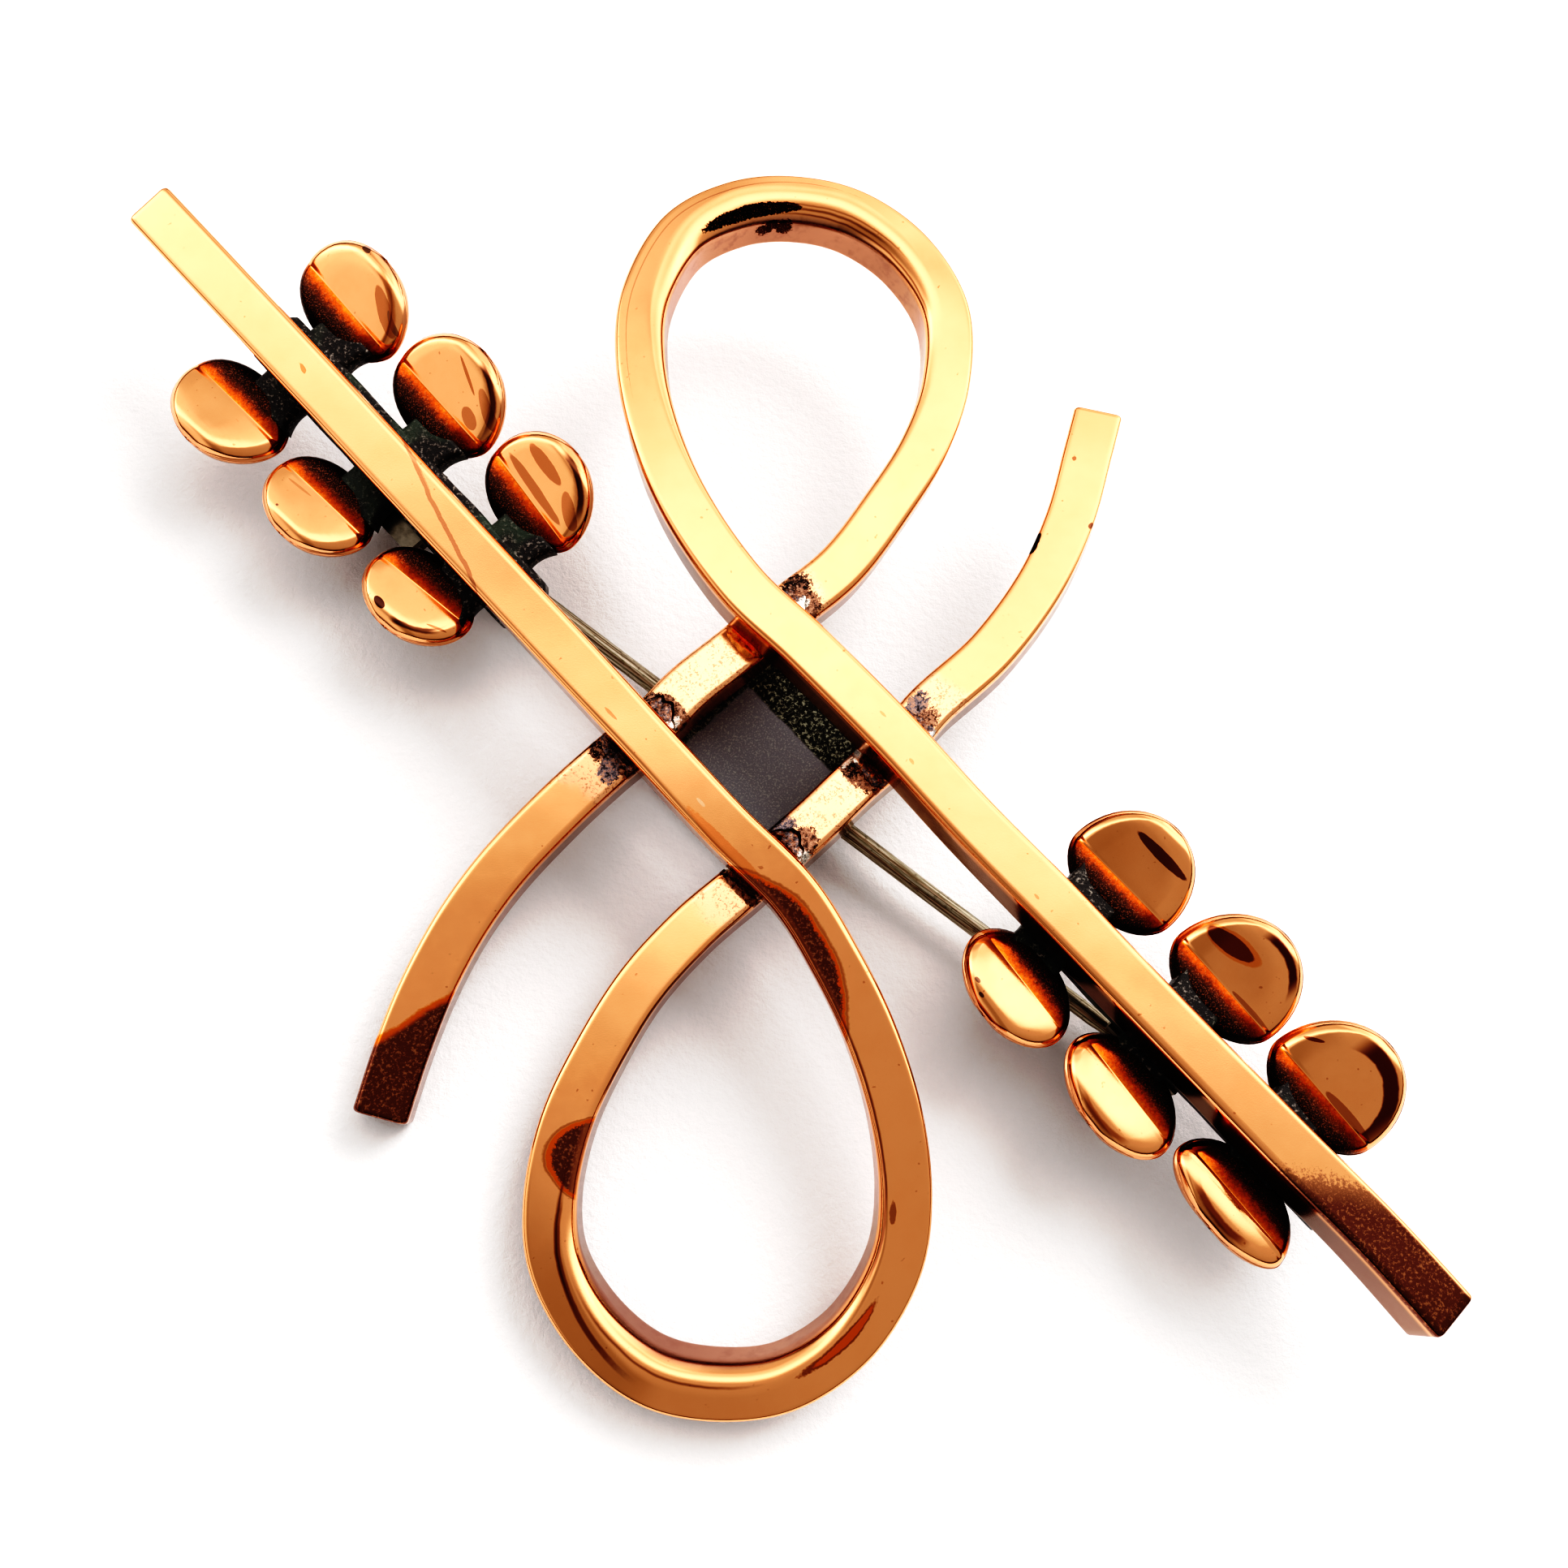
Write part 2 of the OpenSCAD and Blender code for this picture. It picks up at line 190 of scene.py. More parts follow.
sight = np.array([sind(eye_tilt) * cosd(eye_bearing), sind(eye_tilt) * sind(eye_bearing), cosd(eye_tilt)])
view_up = unit(np.array([0, 1, 0]) - sight[1] * sight)
view_right = np.cross(view_up, sight)
eye = eye_dist * sight


def plan(x, y, z):
    """The point at height z that is seen at x, y in the view."""
    ray = x * view_right + y * view_up - eye
    return eye + ray * ((z - eye[2]) / ray[2])


def turn4(axis, degrees):
    """Matrix of a turn about an axis."""
    return np.array(Matrix.Rotation(math.radians(degrees), 4, Vector(axis)))


def move4(x, y, z):
    """Matrix of a move."""
    return np.array(Matrix.Translation((x, y, z)))


pin_from = plan(*joint_seen, pin_z - back_z)
pin_to = plan(*catch_seen, pin_z - back_z)
pin_run = pin_to - pin_from
pin_bearing = math.degrees(math.atan2(pin_run[1], pin_run[0]))
pin_length = float(np.linalg.norm(pin_run))
lean_axis = (cosd(pin_bearing), sind(pin_bearing), 0)
laid = move4(-middle[0], -middle[1], 0)
leaning = (laid @ move4(pin_from[0], pin_from[1], back_z) @ turn4(lean_axis, lean_deg)
           @ move4(-pin_from[0], -pin_from[1], 0))
at_rivet = laid @ move4(pin_from[0], pin_from[1], pin_z) @ turn4((0, 0, 1), pin_bearing)


def moved(m, points):
    """Points moved by a matrix."""
    p = np.asarray(points, float)
    return p @ m[:3, :3].T + m[:3, 3]


def row_at(rows, u):
    """The row at place u of a smooth curve through all rows."""
    last = len(rows) - 1
    i = min(int(math.floor(u)), last - 1)
    t = u - i
    b, c = rows[i], rows[i + 1]
    a = rows[i - 1] if i > 0 else 2 * rows[0] - rows[1]
    d = rows[i + 2] if i < last - 1 else 2 * rows[last] - rows[last - 1]
    return 0.5 * (2 * b + (c - a) * t + (2 * a - 5 * b + 4 * c - d) * t * t
                  + (3 * b - a - 3 * c + d) * t ** 3)


def on_plan(table):
    """Rows of a seen table with true places: [x, y, z, turn, side]."""
    return np.array([[*plan(r[0], r[1], r[2]), r[3], r[4]] for r in table])


# Mesh helpers
def new_mesh(name, points, faces, values=None):
    """A mesh object from points in millimetres, with a float per point for each named value."""
    mesh = bpy.data.meshes.new(name)
    mesh.from_pydata([tuple(p) for p in np.asarray(points) * MM], [], faces)
    for key, data in (values or {}).items():
        layer = mesh.attributes.new(key, "FLOAT", "POINT")
        layer.data.foreach_set("value", np.asarray(data, np.float32))
    mesh.polygons.foreach_set("use_smooth", [True] * len(mesh.polygons))
    mesh.update()
    piece = bpy.data.objects.new(name, mesh)
    scene.collection.objects.link(piece)
    return piece


def tube_faces(count, n, first=0):
    """Faces between rings of n points, with both ends closed."""
    faces = []
    for i in range(count - 1):
        a, b = first + i * n, first + (i + 1) * n
        for j in range(n):
            k = (j + 1) % n
            faces.append((a + j, b + j, b + k, a + k))
    faces.append(tuple(first + j for j in range(n)))
    faces.append(tuple(first + (count - 1) * n + j for j in range(n - 1, -1, -1)))
    return faces


def wave(p, size, seed):
    """Smooth unevenness, from -1 to 1, at points in millimetres."""
    return noise.noise(Vector((p[0] / size + seed, p[1] / size - seed, p[2] / size + 2 * seed)))


def solid_mesh(name, place, points, faces, values=None):
    """A closed mesh moved to its place, with every face turned outwards."""
    piece = new_mesh(name, moved(place, points), faces, values)
    bm = bmesh.new()
    bm.from_mesh(piece.data)
    bmesh.ops.recalc_face_normals(bm, faces=bm.faces)
    bm.to_mesh(piece.data)
    bm.free()
    return piece


# Ribbons
flat_steps = (0.05, 0.28, 0.5, 0.72, 0.95)
corner_steps = 6
bend_steps = 10
# points from the top of the left wall over the middle of the top
over_top = 2 * (corner_steps + 1) + len(flat_steps)
# the widest, deepest and smallest that a corner may be; the first two are shares of half the side
widest, deepest, least_r = 1.72, 0.9, 0.02
# rings between two rows of a table, and steps where its seen length is measured
ring_steps = 18
length_steps = 40
bar_end_r = 0.2
end_face_in = 0.06
least_edge_r = 0.12


def bar_frame(rows, u):
    """Middle, left, up and half side of a bar at u."""
    near = 0.02
    here = row_at(rows, u)
    ahead = row_at(rows, min(u + near, len(rows) - 1))[:3]
    behind = row_at(rows, max(u - near, 0))[:3]
    along = unit(ahead - behind)
    level_left = unit(np.cross([0, 0, 1], along))
    level_up = np.cross(along, level_left)
    left = level_left * cosd(here[3]) - level_up * sind(here[3])
    up = level_up * cosd(here[3]) + level_left * sind(here[3])
    return here[:3], left, up, here[4] / 2


def section(half, r, wide, deep):
    """Square section, steps to the left and up; wide and deep are the radii of its top right corner."""
    corners = []
    for q in range(4):
        c = 90 * q + 45
        steps = bend_steps if q == 1 else corner_steps
        rx = max(min(wide if q == 1 else r, half * widest), least_r)
        ry = max(min(deep if q == 1 else r, half * deepest), least_r)
        mid = ((half - rx) * math.sqrt(2) * cosd(c), (half - ry) * math.sqrt(2) * sind(c))
        corners.append([(mid[0] + rx * cosd(90 * q + 90 * k / steps),
                         mid[1] + ry * sind(90 * q + 90 * k / steps)) for k in range(steps + 1)])
    points = []
    for q in range(4):
        points += corners[q]
        a, b = np.array(corners[q][-1]), np.array(corners[(q + 1) % 4][0])
        points += [tuple(a + (b - a) * f) for f in flat_steps]
    return np.array(points)


def girths(cut):
    """Distance round the section from the middle of the top, positive over its right hand."""
    steps = np.linalg.norm(np.roll(cut, -1, axis=0) - cut, axis=1)
    round_l = np.concatenate([[0], np.cumsum(steps)[:-1]])
    start = np.interp(0, -cut[:over_top, 0], round_l[:over_top])
    half_way = steps.sum() / 2
    return (round_l - start + half_way) % steps.sum() - half_way


def seen_lengths(table):
    """Seen length at each step along a table, in hundreds of pixels of the photograph."""
    table = np.array(table)
    count = length_steps * (len(table) - 1) + 1
    line = np.array([row_at(table, k / length_steps)[:2] for k in range(count)])
    steps = np.linalg.norm(np.diff(line, axis=0), axis=1)
    return np.concatenate([[0], np.cumsum(steps)]) * px_per_unit / 100


def bar_stations(rows):
    """Places of the rings along a bar, with how far each is drawn in at the softened ends."""
    last = len(rows) - 1
    first_l = np.linalg.norm(rows[1, :3] - rows[0, :3])
    last_l = np.linalg.norm(rows[last, :3] - rows[last - 1, :3])
    ends = [(0.0, bar_end_r + end_face_in), (0.0, bar_end_r)]
    ends += [(bar_end_r * (1 - cosd(a)), bar_end_r * (1 - sind(a))) for a in (30, 60, 90)]
    clear = 1.3 * bar_end_r
    stations = [(s / first_l, inset) for s, inset in ends]
    stations += [(k / ring_steps, 0) for k in range(1, ring_steps * last)
                 if clear / first_l < k / ring_steps < last - clear / last_l]
    return stations + [(last - s / last_l, inset) for s, inset in reversed(ends)]


def ribbon(name, table, seed, bend):
    """Bar along a table; bend is the run where its inner edge starts to round and is roundest,
    and what that adds to the edge's width and depth."""
    rows = on_plan(table)
    lengths = seen_lengths(table)
    bend_from, roundest, wider, deeper = bend
    points, values = [], dict(run=[], lat=[], lift=[], girth=[])
    stations = bar_stations(rows)
    for u, inset in stations:
        mid, left, up, half = bar_frame(rows, u)
        run = np.interp(u * length_steps, np.arange(len(lengths)), lengths)
        # full for a little way on both sides of the roundest place
        near = max(1 - abs(run - roundest) / (roundest - bend_from), 0)
        bent = min(1.3 * near * near, 1)
        r = max(edge_r * (1 + 0.25 * wave(mid, 9, seed)), least_edge_r)
        cut = section(half - inset, r, r + wider * bent, r + deeper * bent)
        for p in mid + cut[:, :1] * left + cut[:, 1:] * up:
            uneven = 0.012 * wave(p, 5, seed) + 0.004 * wave(p, 1.6, seed + 5)
            points.append(p + unit(p - mid) * uneven)
        values["run"] += [run] * len(cut)
        values["lat"] += list(cut[:, 0])
        values["lift"] += list(cut[:, 1])
        values["girth"] += list(girths(cut))
    piece = solid_mesh(name, leaning, points, tube_faces(len(stations), len(cut)), values)
    for end_face in (-1, -2):
        piece.data.polygons[end_face].use_smooth = False
    return piece


# Leaf sprays
fold_r = 0.15
# the top drops towards the rim, over this width and by this much
rim_soft = 0.9
rim_drop = 0.16
# turns that space the rings of a leaf, closer at its rims, with even rings over the fold between
inner_turns = (-89, -86, -82, -77, -71, -64, -56, -48, -40, -32, -25, -19)
outer_turns = (18, 25, 32, 39, 46, 53, 59, 65, 70, 74, 78, 81.5, 84.5, 87, 89)
fold_to, fold_rings = 1.0, 22


def fold_line(y, slope):
    """Middle surface of a folded leaf at y from its crease: place and tilt."""
    b = math.radians(slope)
    r = fold_r + leaf_t / 2
    reach = r * math.tan(b / 2)
    if y <= -reach:
        return y, 0.0, 0.0
    if y >= reach:
        return y * math.cos(b), y * math.sin(b), b
    a = b * (y + reach) / (2 * reach)
    return -reach + r * math.sin(a), r - r * math.cos(a), a


def leaf_points(out_r, slope, seed):
    """Points, faces and values of a leaf, in rings along its fold."""
    e = leaf_t / 2
    least = 1e-5
    ys = [crease_in + leaf_in_r * sind(t) for t in inner_turns]
    ys += list(np.linspace(ys[-1], fold_to, fold_rings)[1:])
    ys += [crease_in + out_r * sind(t) for t in outer_turns if crease_in + out_r * sind(t) > fold_to + 0.1]
    arc = [90 - 15 * k for k in range(13)]
    flat = [0.12, 0.28, 0.46, 0.64, 0.82]
    points, values = [], dict(across=[], along=[], rim=[], face=[])
    for y in ys:
        reach = leaf_in_r if y < crease_in else out_r
        off = y - crease_in
        half_w = leaf_r * math.sqrt(max(1 - (off / reach) ** 2, least))
        past = max(abs(off) - (reach - e), 0)
        half_t = math.sqrt(max(e * e - past * past, least))
        r = min(half_t, half_w)
        by, bz, tilt = fold_line(y, slope)
        right = [(half_w - r + r * cosd(a), half_t * sind(a)) for a in arc]
        bottom = [((half_w - r) * (1 - 2 * f), -half_t) for f in flat]
        left = [(-x, -z) for x, z in right]
        top = [(-x, -z) for x, z in bottom]
        for x, z in right + bottom + left + top:
            inward = (1 - math.hypot(off / reach, x / leaf_r)) * min(reach, leaf_r)
            soft = max(1 - max(inward, 0) / rim_soft, 0) ** 2
            up = z
            if z > 0:
                up += 0.02 * wave((x, y, 0), 1.8, seed) - rim_drop * soft
            points.append((x, by - up * math.sin(tilt), bz + up * math.cos(tilt) - e))
            for key, value in (("across", y), ("along", x), ("rim", inward), ("face", z / e)):
                values[key].append(value)
    n = 2 * (len(arc) + len(flat))
    return np.array(points), tube_faces(len(ys), n), values


def under_arm(spec):
    """Place of a spray under its arm."""
    rows = on_plan(spec["rows"])
    u = spec["at"]
    here, fore, back = row_at(rows, u), row_at(rows, u + 1), row_at(rows, u - 1)
    bearing = math.degrees(math.atan2(fore[1] - back[1], fore[0] - back[0]))
    return (leaning @ move4(*here[:3]) @ turn4((0, 0, 1), bearing) @ turn4((1, 0, 0), -here[3])
            @ move4(0, spec["shift"], -here[4] / 2 - spray_gap))


def spray_leaves(key):
    """The six leaves of a spray."""
    place = under_arm(spray_specs[key])
    made = []
    for i, (side, along, out, reach, slope, turn, size) in enumerate(spray_specs[key]["leaves"]):
        number = i % 3
        seed = 3.1 * number + (7 if side > 0 else 0) + (20 if key == "b" else 0)
        points, faces, values = leaf_points(reach, slope, seed)
        m = (place @ np.array(Matrix.Diagonal((1, side, 1, 1)))
             @ move4(along, out, 0) @ turn4((0, 0, 1), turn) @ np.array(Matrix.Scale(size, 4)))
        where = "right" if (side > 0) == (key == "a") else "left"
        piece = solid_mesh("leaf_%s_%s_%d" % (key, where, number + 1), m, points, faces, values)
        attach(piece, "brooch")
        made.append(piece)
    return made


def slab_ring(half_w, half_t, r):
    """Section of a slab with rounded edges, as steps across and up."""
    out = []
    for q, (sx, sz) in enumerate(((1, 1), (-1, 1), (-1, -1), (1, -1))):
        for a in range(90 * q, 90 * q + 91, 30):
            out.append((sx * (half_w - r) + r * cosd(a), sz * (half_t - r) + r * sind(a)))
    return np.array(out)


def strip_rings(ends):
    """Rings of the strip, with softened edges and ragged ends."""
    e = leaf_t / 2
    end_l, end_trim, edge, step = 0.5, 0.45, 0.22, 0.4
    x0, x1 = ends
    near_end = [0.0, 0.05, 0.15, 0.4]
    xs = [x0 + x for x in near_end] + list(np.arange(x0 + 2 * step, x1 - 1.5 * step, step))
    xs += [x1 - x for x in reversed(near_end)]
    rings = []
    for x in xs:
        trim = end_trim * max(1 - min(x - x0, x1 - x) / end_l, 0) ** 2
        half = strip_w / 2 - trim + 0.05 * wave((x, 0, 0), 2.2, 4.0)
        ring = slab_ring(half, e - 0.35 * trim, edge)
        rings.append(np.c_[np.full(len(ring), x), ring[:, 0], ring[:, 1] - e])
    return rings


def neck_rings(side, along):
    """Rings of a neck, which flares into the strip and into its leaf."""
    e = leaf_t / 2
    inner_y, outer_y, waist_y, waist_half, edge = 0.9, 2.9, 1.75, neck_w / 2 - 0.12, 0.3
    rings = []
    for y in np.linspace(inner_y, outer_y, 11):
        flare = 0.34 * ((y - waist_y) / 1.1) ** 2
        ring = slab_ring(waist_half + flare, e - 0.04, edge)
        rings.append(np.c_[ring[:, 0] + along, np.full(len(ring), side * y), ring[:, 1] - e])
    return rings


def spray_stem(key):
    """Strip and necks of a spray."""
    spec = spray_specs[key]
    tubes = [strip_rings(spec["ends"])]
    tubes += [neck_rings(side, leaf_at + spec["neck"]) for side, leaf_at, *_ in spec["leaves"]]
    points, faces = [], []
    for rings in tubes:
        faces += tube_faces(len(rings), len(rings[0]), len(points))
        points += list(np.concatenate(rings))
    stem = solid_mesh("spray_stem_" + key, under_arm(spec), points, faces)
    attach(stem, "brooch")
    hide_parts("leaf_spray_" + key)
    return stem


ribbon_a = ribbon("ribbon_bar_a", rows_a, 1.7, (13.5, 19.5, 0.85, 1.15))
ribbon_b = ribbon("ribbon_bar_b", rows_b, 8.3, (13.0, 18.6, 1.5, 0.8))
for piece, node in ((ribbon_a, "ribbon_a"), (ribbon_b, "ribbon_b")):
    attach(piece, "brooch")
    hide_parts(node)
leaf_pieces_a, stem_a = spray_leaves("a"), spray_stem("a")
leaf_pieces_b, stem_b = spray_leaves("b"), spray_stem("b")


# Materials
class Nodes:
    """Builds a tree of nodes, a call for each step."""

    def __init__(self, tree):
        self.tree = tree

    def put(self, socket, value):
        if isinstance(value, bpy.types.NodeSocket):
            self.tree.links.new(value, socket)
        elif isinstance(value, (tuple, list)) and len(value) == 3 and socket.type == "RGBA":
            socket.default_value = (*value, 1)
        else:
            socket.default_value = value

    def node(self, kind, inputs=(), **settings):
        """A node with its settings; inputs are in order or by key."""
        node = self.tree.nodes.new("ShaderNode" + kind)
        for key, value in settings.items():
            setattr(node, key, value)
        for key, value in inputs.items() if isinstance(inputs, dict) else enumerate(inputs):
            self.put(node.inputs[key], value)
        return node

    def value(self, name):
        return self.node("Attribute", attribute_name=name).outputs["Fac"]

    def math(self, op, a, b):
        return self.node("Math", (a, b), operation=op).outputs[0]

    def add(self, *values):
        return reduce(lambda a, b: self.math("ADD", a, b), values)

    def times(self, *values):
        return reduce(lambda a, b: self.math("MULTIPLY", a, b), values)

    def ramp(self, x, low, high, a=0.0, b=1.0):
        """From a, below low, to b, above high."""
        return self.node("MapRange", (x, low, high, a, b), interpolation_type="SMOOTHSTEP").outputs[0]

    def fall(self, x, low, high):
        """1 below low and 0 above high."""
        return self.ramp(x, low, high, 1.0, 0.0)

    def band(self, x, low, high, soft):
        """1 between low and high, with soft edges."""
        return self.times(self.ramp(x, low - soft, low + soft), self.fall(x, high - soft, high + soft))

    def off(self, x, middle, radius):
        """How far x is from a middle, in radii."""
        return self.times(self.add(x, -middle), 1 / radius)

    def mark(self, x, y, uneven):
        """Squared distance from the middle of a mark, whose uneven edge is near 1."""
        return self.add(self.times(x, x), self.times(y, y), uneven)

    def noise(self, scale, detail, rough, where=None):
        """Noise in millimetres: scale is waves a millimetre."""
        place = where or self.node("TexCoord").outputs["Object"]
        inputs = dict(Vector=place, Scale=scale / MM, Detail=detail, Roughness=rough)
        return self.node("TexNoise", inputs).outputs["Fac"]

    def uneven(self, scale, detail, rough):
        """Noise about 0."""
        return self.add(self.noise(scale, detail, rough), -0.5)

    def join(self, *values):
        return self.node("CombineXYZ", values).outputs[0]

    def mix(self, share, a, b):
        return self.node("Mix", {0: share, 6: a, 7: b}, data_type="RGBA").outputs[2]

    def over(self, color, shade, *masks):
        """A shade laid over a colour where all masks are 1."""
        return self.mix(self.times(*masks), color, shade)

    def stops(self, x, table):
        """Colour by x, through a table of (place, colour)."""
        low, high = table[0][0], table[-1][0]
        share = self.node("MapRange", (x, low, high, 0.0, 1.0)).outputs[0]
        node = self.node("ValToRGB", (share,))
        elements = node.color_ramp.elements
        while len(elements) < len(table):
            elements.new(0.5)
        for element, (p, c) in zip(elements, table):
            element.position = (p - low) / (high - low)
            element.color = (*c, 1)
        return node.outputs[0]


class Paint(Nodes):
    """Builds one material."""

    def __init__(self, name):
        self.mat = bpy.data.materials.new(name)
        self.mat.use_nodes = True
        super().__init__(self.mat.node_tree)
        self.tree.nodes.clear()
        self.bsdf = self.node("BsdfPrincipled")
        self.node("OutputMaterial", (self.bsdf.outputs[0],))

    def bump(self, height, strength, distance):
        inputs = dict(Strength=strength, Distance=distance * MM, Height=height)
        return self.node("Bump", inputs).outputs[0]

    def finish(self, color, metallic, rough, normal):
        self.put(self.bsdf.inputs["Base Color"], color)
        self.put(self.bsdf.inputs["Metallic"], metallic)
        self.put(self.bsdf.inputs["Roughness"], rough)
        self.put(self.bsdf.inputs["Normal"], normal)
        return self.mat


def dress(material, *pieces):
    for piece in pieces:
        piece.data.materials.clear()
        piece.data.materials.append(material)


# Colours of the metal and of what lies on it; FLAME also colours painted reflections and highlights
COPPER = (0.93, 0.50, 0.28)
ROSE = (0.60, 0.31, 0.23)
FLAME = (0.76, 0.24, 0.055)
BROWN = (0.46, 0.25, 0.16)
DARK = (0.23, 0.11, 0.085)
SOOT = (0.06, 0.045, 0.042)
BLUE_GREY = (0.23, 0.21, 0.23)
SILVER = (0.80, 0.74, 0.67)
UMBER = (0.30, 0.17, 0.12)
RED_BROWN = (0.40, 0.15, 0.08)
WARM_BROWN = (0.53, 0.24, 0.13)
SPOT_BROWN = (0.60, 0.28, 0.15)


class BarPaint(Paint):
    """Polished square bar. Places are run and lat, or run and girth, as on its points: run is the
    seen length in hundreds of pixels, lat and girth are millimetres."""

    def __init__(self, name):
        super().__init__(name)
        self.run, self.lat, self.girth = [self.value(key) for key in ("run", "lat", "girth")]
        lift = self.value("lift")
        self.top = self.ramp(lift, 0.75, 0.98)
        self.wall = self.fall(lift, 0.45, 0.85)
        self.wander = self.uneven(0.55, 3, 0.6)
        self.speck = self.noise(6.5, 3, 0.7)
        self.fine = self.noise(15.0, 2, 0.7)
        self.grain = self.add(self.speck, -0.5)
        self.flecks = self.mix(self.ramp(self.speck, 0.50, 0.66), DARK, BROWN)


def polish(p):
    """Bare copper, with faint clouds and dots."""
    clouds = p.ramp(p.noise(0.45, 4, 0.6), 0.35, 0.75)
    color = p.over(COPPER, (0.82, 0.36, 0.17), clouds, 0.12)
    dots = p.ramp(p.noise(3.2, 1, 0.5), 0.74, 0.80)
    return p.over(color, (0.50, 0.20, 0.10), dots, 0.5)


def pitted(p, color, rows):
    """rows: (run from, run to) where the polish is pitted, next to the crossings"""
    pits = p.times(p.ramp(p.speck, 0.53, 0.60), p.ramp(p.noise(1.3, 2, 0.6), 0.36, 0.56))
    x = p.add(p.run, p.times(p.wander, 0.5))
    for low, high in rows:
        where = p.times(p.band(x, low, high, 0.1), p.top)
        color = p.over(color, (0.96, 0.70, 0.56), where, 0.2)
        color = p.over(color, (0.50, 0.25, 0.16), where, pits, 0.8)
    return color


def marked_and_reflected(p, color, rows):
    """rows: (run, lat, run radius, lat radius, slant, colour, share) of marks in the polish: spots, chips and
    slanted lines, and some painted dark reflections
    """
    wavy = p.add(p.run, p.times(p.wander, 0.35))
    uneven = p.times(p.add(p.wander, p.times(p.grain, 0.9)), 0.9)
    for r, l, rr, rl, slant, shade, share in rows:
        x = p.off(p.add(wavy, p.times(p.lat, slant)), r + slant * l, rr)
        far = p.mark(x, p.off(p.lat, l, rl), uneven)
        color = p.over(color, shade, p.fall(far, 0.7, 1.1), p.top, share)
    return color


def reflection_patched(p, color, rows):
    """rows: (run, half length, lat at the edge, lat at the peak, border) of painted dark reflections in the
    face, bays each with a flame-coloured border"""
    uneven = p.add(p.times(p.wander, 0.5), p.times(p.grain, 0.14))
    core = p.mix(p.ramp(p.lat, -1.0, -0.7, 0.75, 0.0), p.flecks, (0.52, 0.25, 0.15))
    for r, half, edge, peak, border in rows:
        x = p.off(p.run, r, half)
        bay = p.add(p.times(x, x, edge - peak), peak)
        deep = p.add(bay, p.times(p.lat, -1.0), uneven)
        color = p.over(color, (0.42, 0.17, 0.08), p.band(deep, -0.12, 0.03, 0.06), p.top, 0.7)
        color = p.over(color, FLAME, p.ramp(deep, 0.0, 0.06), p.top)
        inside = p.ramp(p.add(deep, p.times(p.grain, 0.5)), border, border + 0.1)
        color = p.over(color, core, inside, p.top)
    return color


def ended(p, color, rows):
    """rows: (run, slant, direction, fade, lat from) of slanted lines with dark beyond them: tarnish, and
    painted dark reflection
    """
    for r, slant, way, fade, low in rows:
        x = p.times(p.add(p.run, p.times(p.lat, slant), -r), way)
        x = p.add(x, p.add(p.times(p.wander, 0.25), p.times(p.grain, fade)))
        kept = p.times(p.top, p.ramp(p.lat, low - 0.08, low + 0.08))
        first = FLAME if fade < 0.5 else BROWN
        color = p.over(color, first, p.ramp(x, 0.0, 0.05 + 0.3 * fade), kept)
        color = p.over(color, p.flecks, p.ramp(x, 0.09, 0.17 + 0.6 * fade), kept)
    return color


def walled_and_shaded(p, color, rows):
    """rows: (run, colour) of the sides, which are duller and pinker than the face, darker or lighter along
    the run with painted shade and reflection
    """
    clouds = p.ramp(p.noise(1.6, 4, 0.65), 0.45, 0.75)
    side = p.over(p.stops(p.run, rows), (0.30, 0.15, 0.12), clouds, 0.35)
    return p.over(color, side, p.wall)


def reflection_lined(p, color, rows):
    """rows: (run from, run to, girth at each, half width, softness, colour, share) of painted dark
    reflections, as lines along an edge"""
    x = p.add(p.run, p.times(p.add(p.wander, p.times(p.grain, 0.5)), 0.35))
    for r0, r1, g0, g1, half, soft, shade, share in rows:
        shift = p.times(p.add(p.run, -r0), (g0 - g1) / (r1 - r0))
        y = p.add(p.girth, p.times(p.wander, 0.15), shift)
        line = p.times(p.band(x, r0, r1, soft), p.band(y, g0 - half, g0 + half, 0.05))
        color = p.over(color, shade, line, share)
    return color


def blotted_and_reflected(p, color, rows):
    """rows: (run, girth, run radius, girth radius, raggedness, colour, share) of dark marks on a
    rounded edge or a side: stains, and painted dark reflections"""
    flecks = p.ramp(p.fine, 0.57, 0.70)
    for r, g, rr, rg, ragged, shade, share in rows:
        uneven = p.add(p.times(p.wander, 0.8), p.times(p.grain, ragged))
        far = p.mark(p.off(p.run, r, rr), p.off(p.girth, g, rg), uneven)
        spotted = p.over(shade, (0.80, 0.52, 0.34), flecks, 0.6)
        color = p.over(color, spotted, p.fall(far, 0.85, 1.1), share)
    return color


def stained(p, color, rows):
    """rows: (run, lat, run radius, lat radius, colour) of grime and solder at the crossings;
    gives the mask of the grime too"""
    uneven = p.add(p.times(p.grain, 3.0), p.times(p.wander, 2.2))
    grime = 0.0
    for r, l, rr, rl, shade in rows:
        far = p.mark(p.off(p.run, r, rr), p.off(p.lat, l, rl), uneven)
        here = p.times(p.fall(far, 0.85, 1.0), p.top)
        color = p.over(color, shade, here)
        if shade != SILVER:
            grime = p.math("MAXIMUM", grime, here)
    mottle = p.noise(4.2, 5, 0.8)
    color = p.over(color, (0.50, 0.30, 0.22), grime, p.ramp(mottle, 0.50, 0.56), 0.75)
    color = p.over(color, SOOT, grime, p.fall(mottle, 0.43, 0.49), 0.85)
    color = p.over(color, (0.78, 0.56, 0.46), grime, p.ramp(p.fine, 0.60, 0.70), 0.7)
    return color, grime


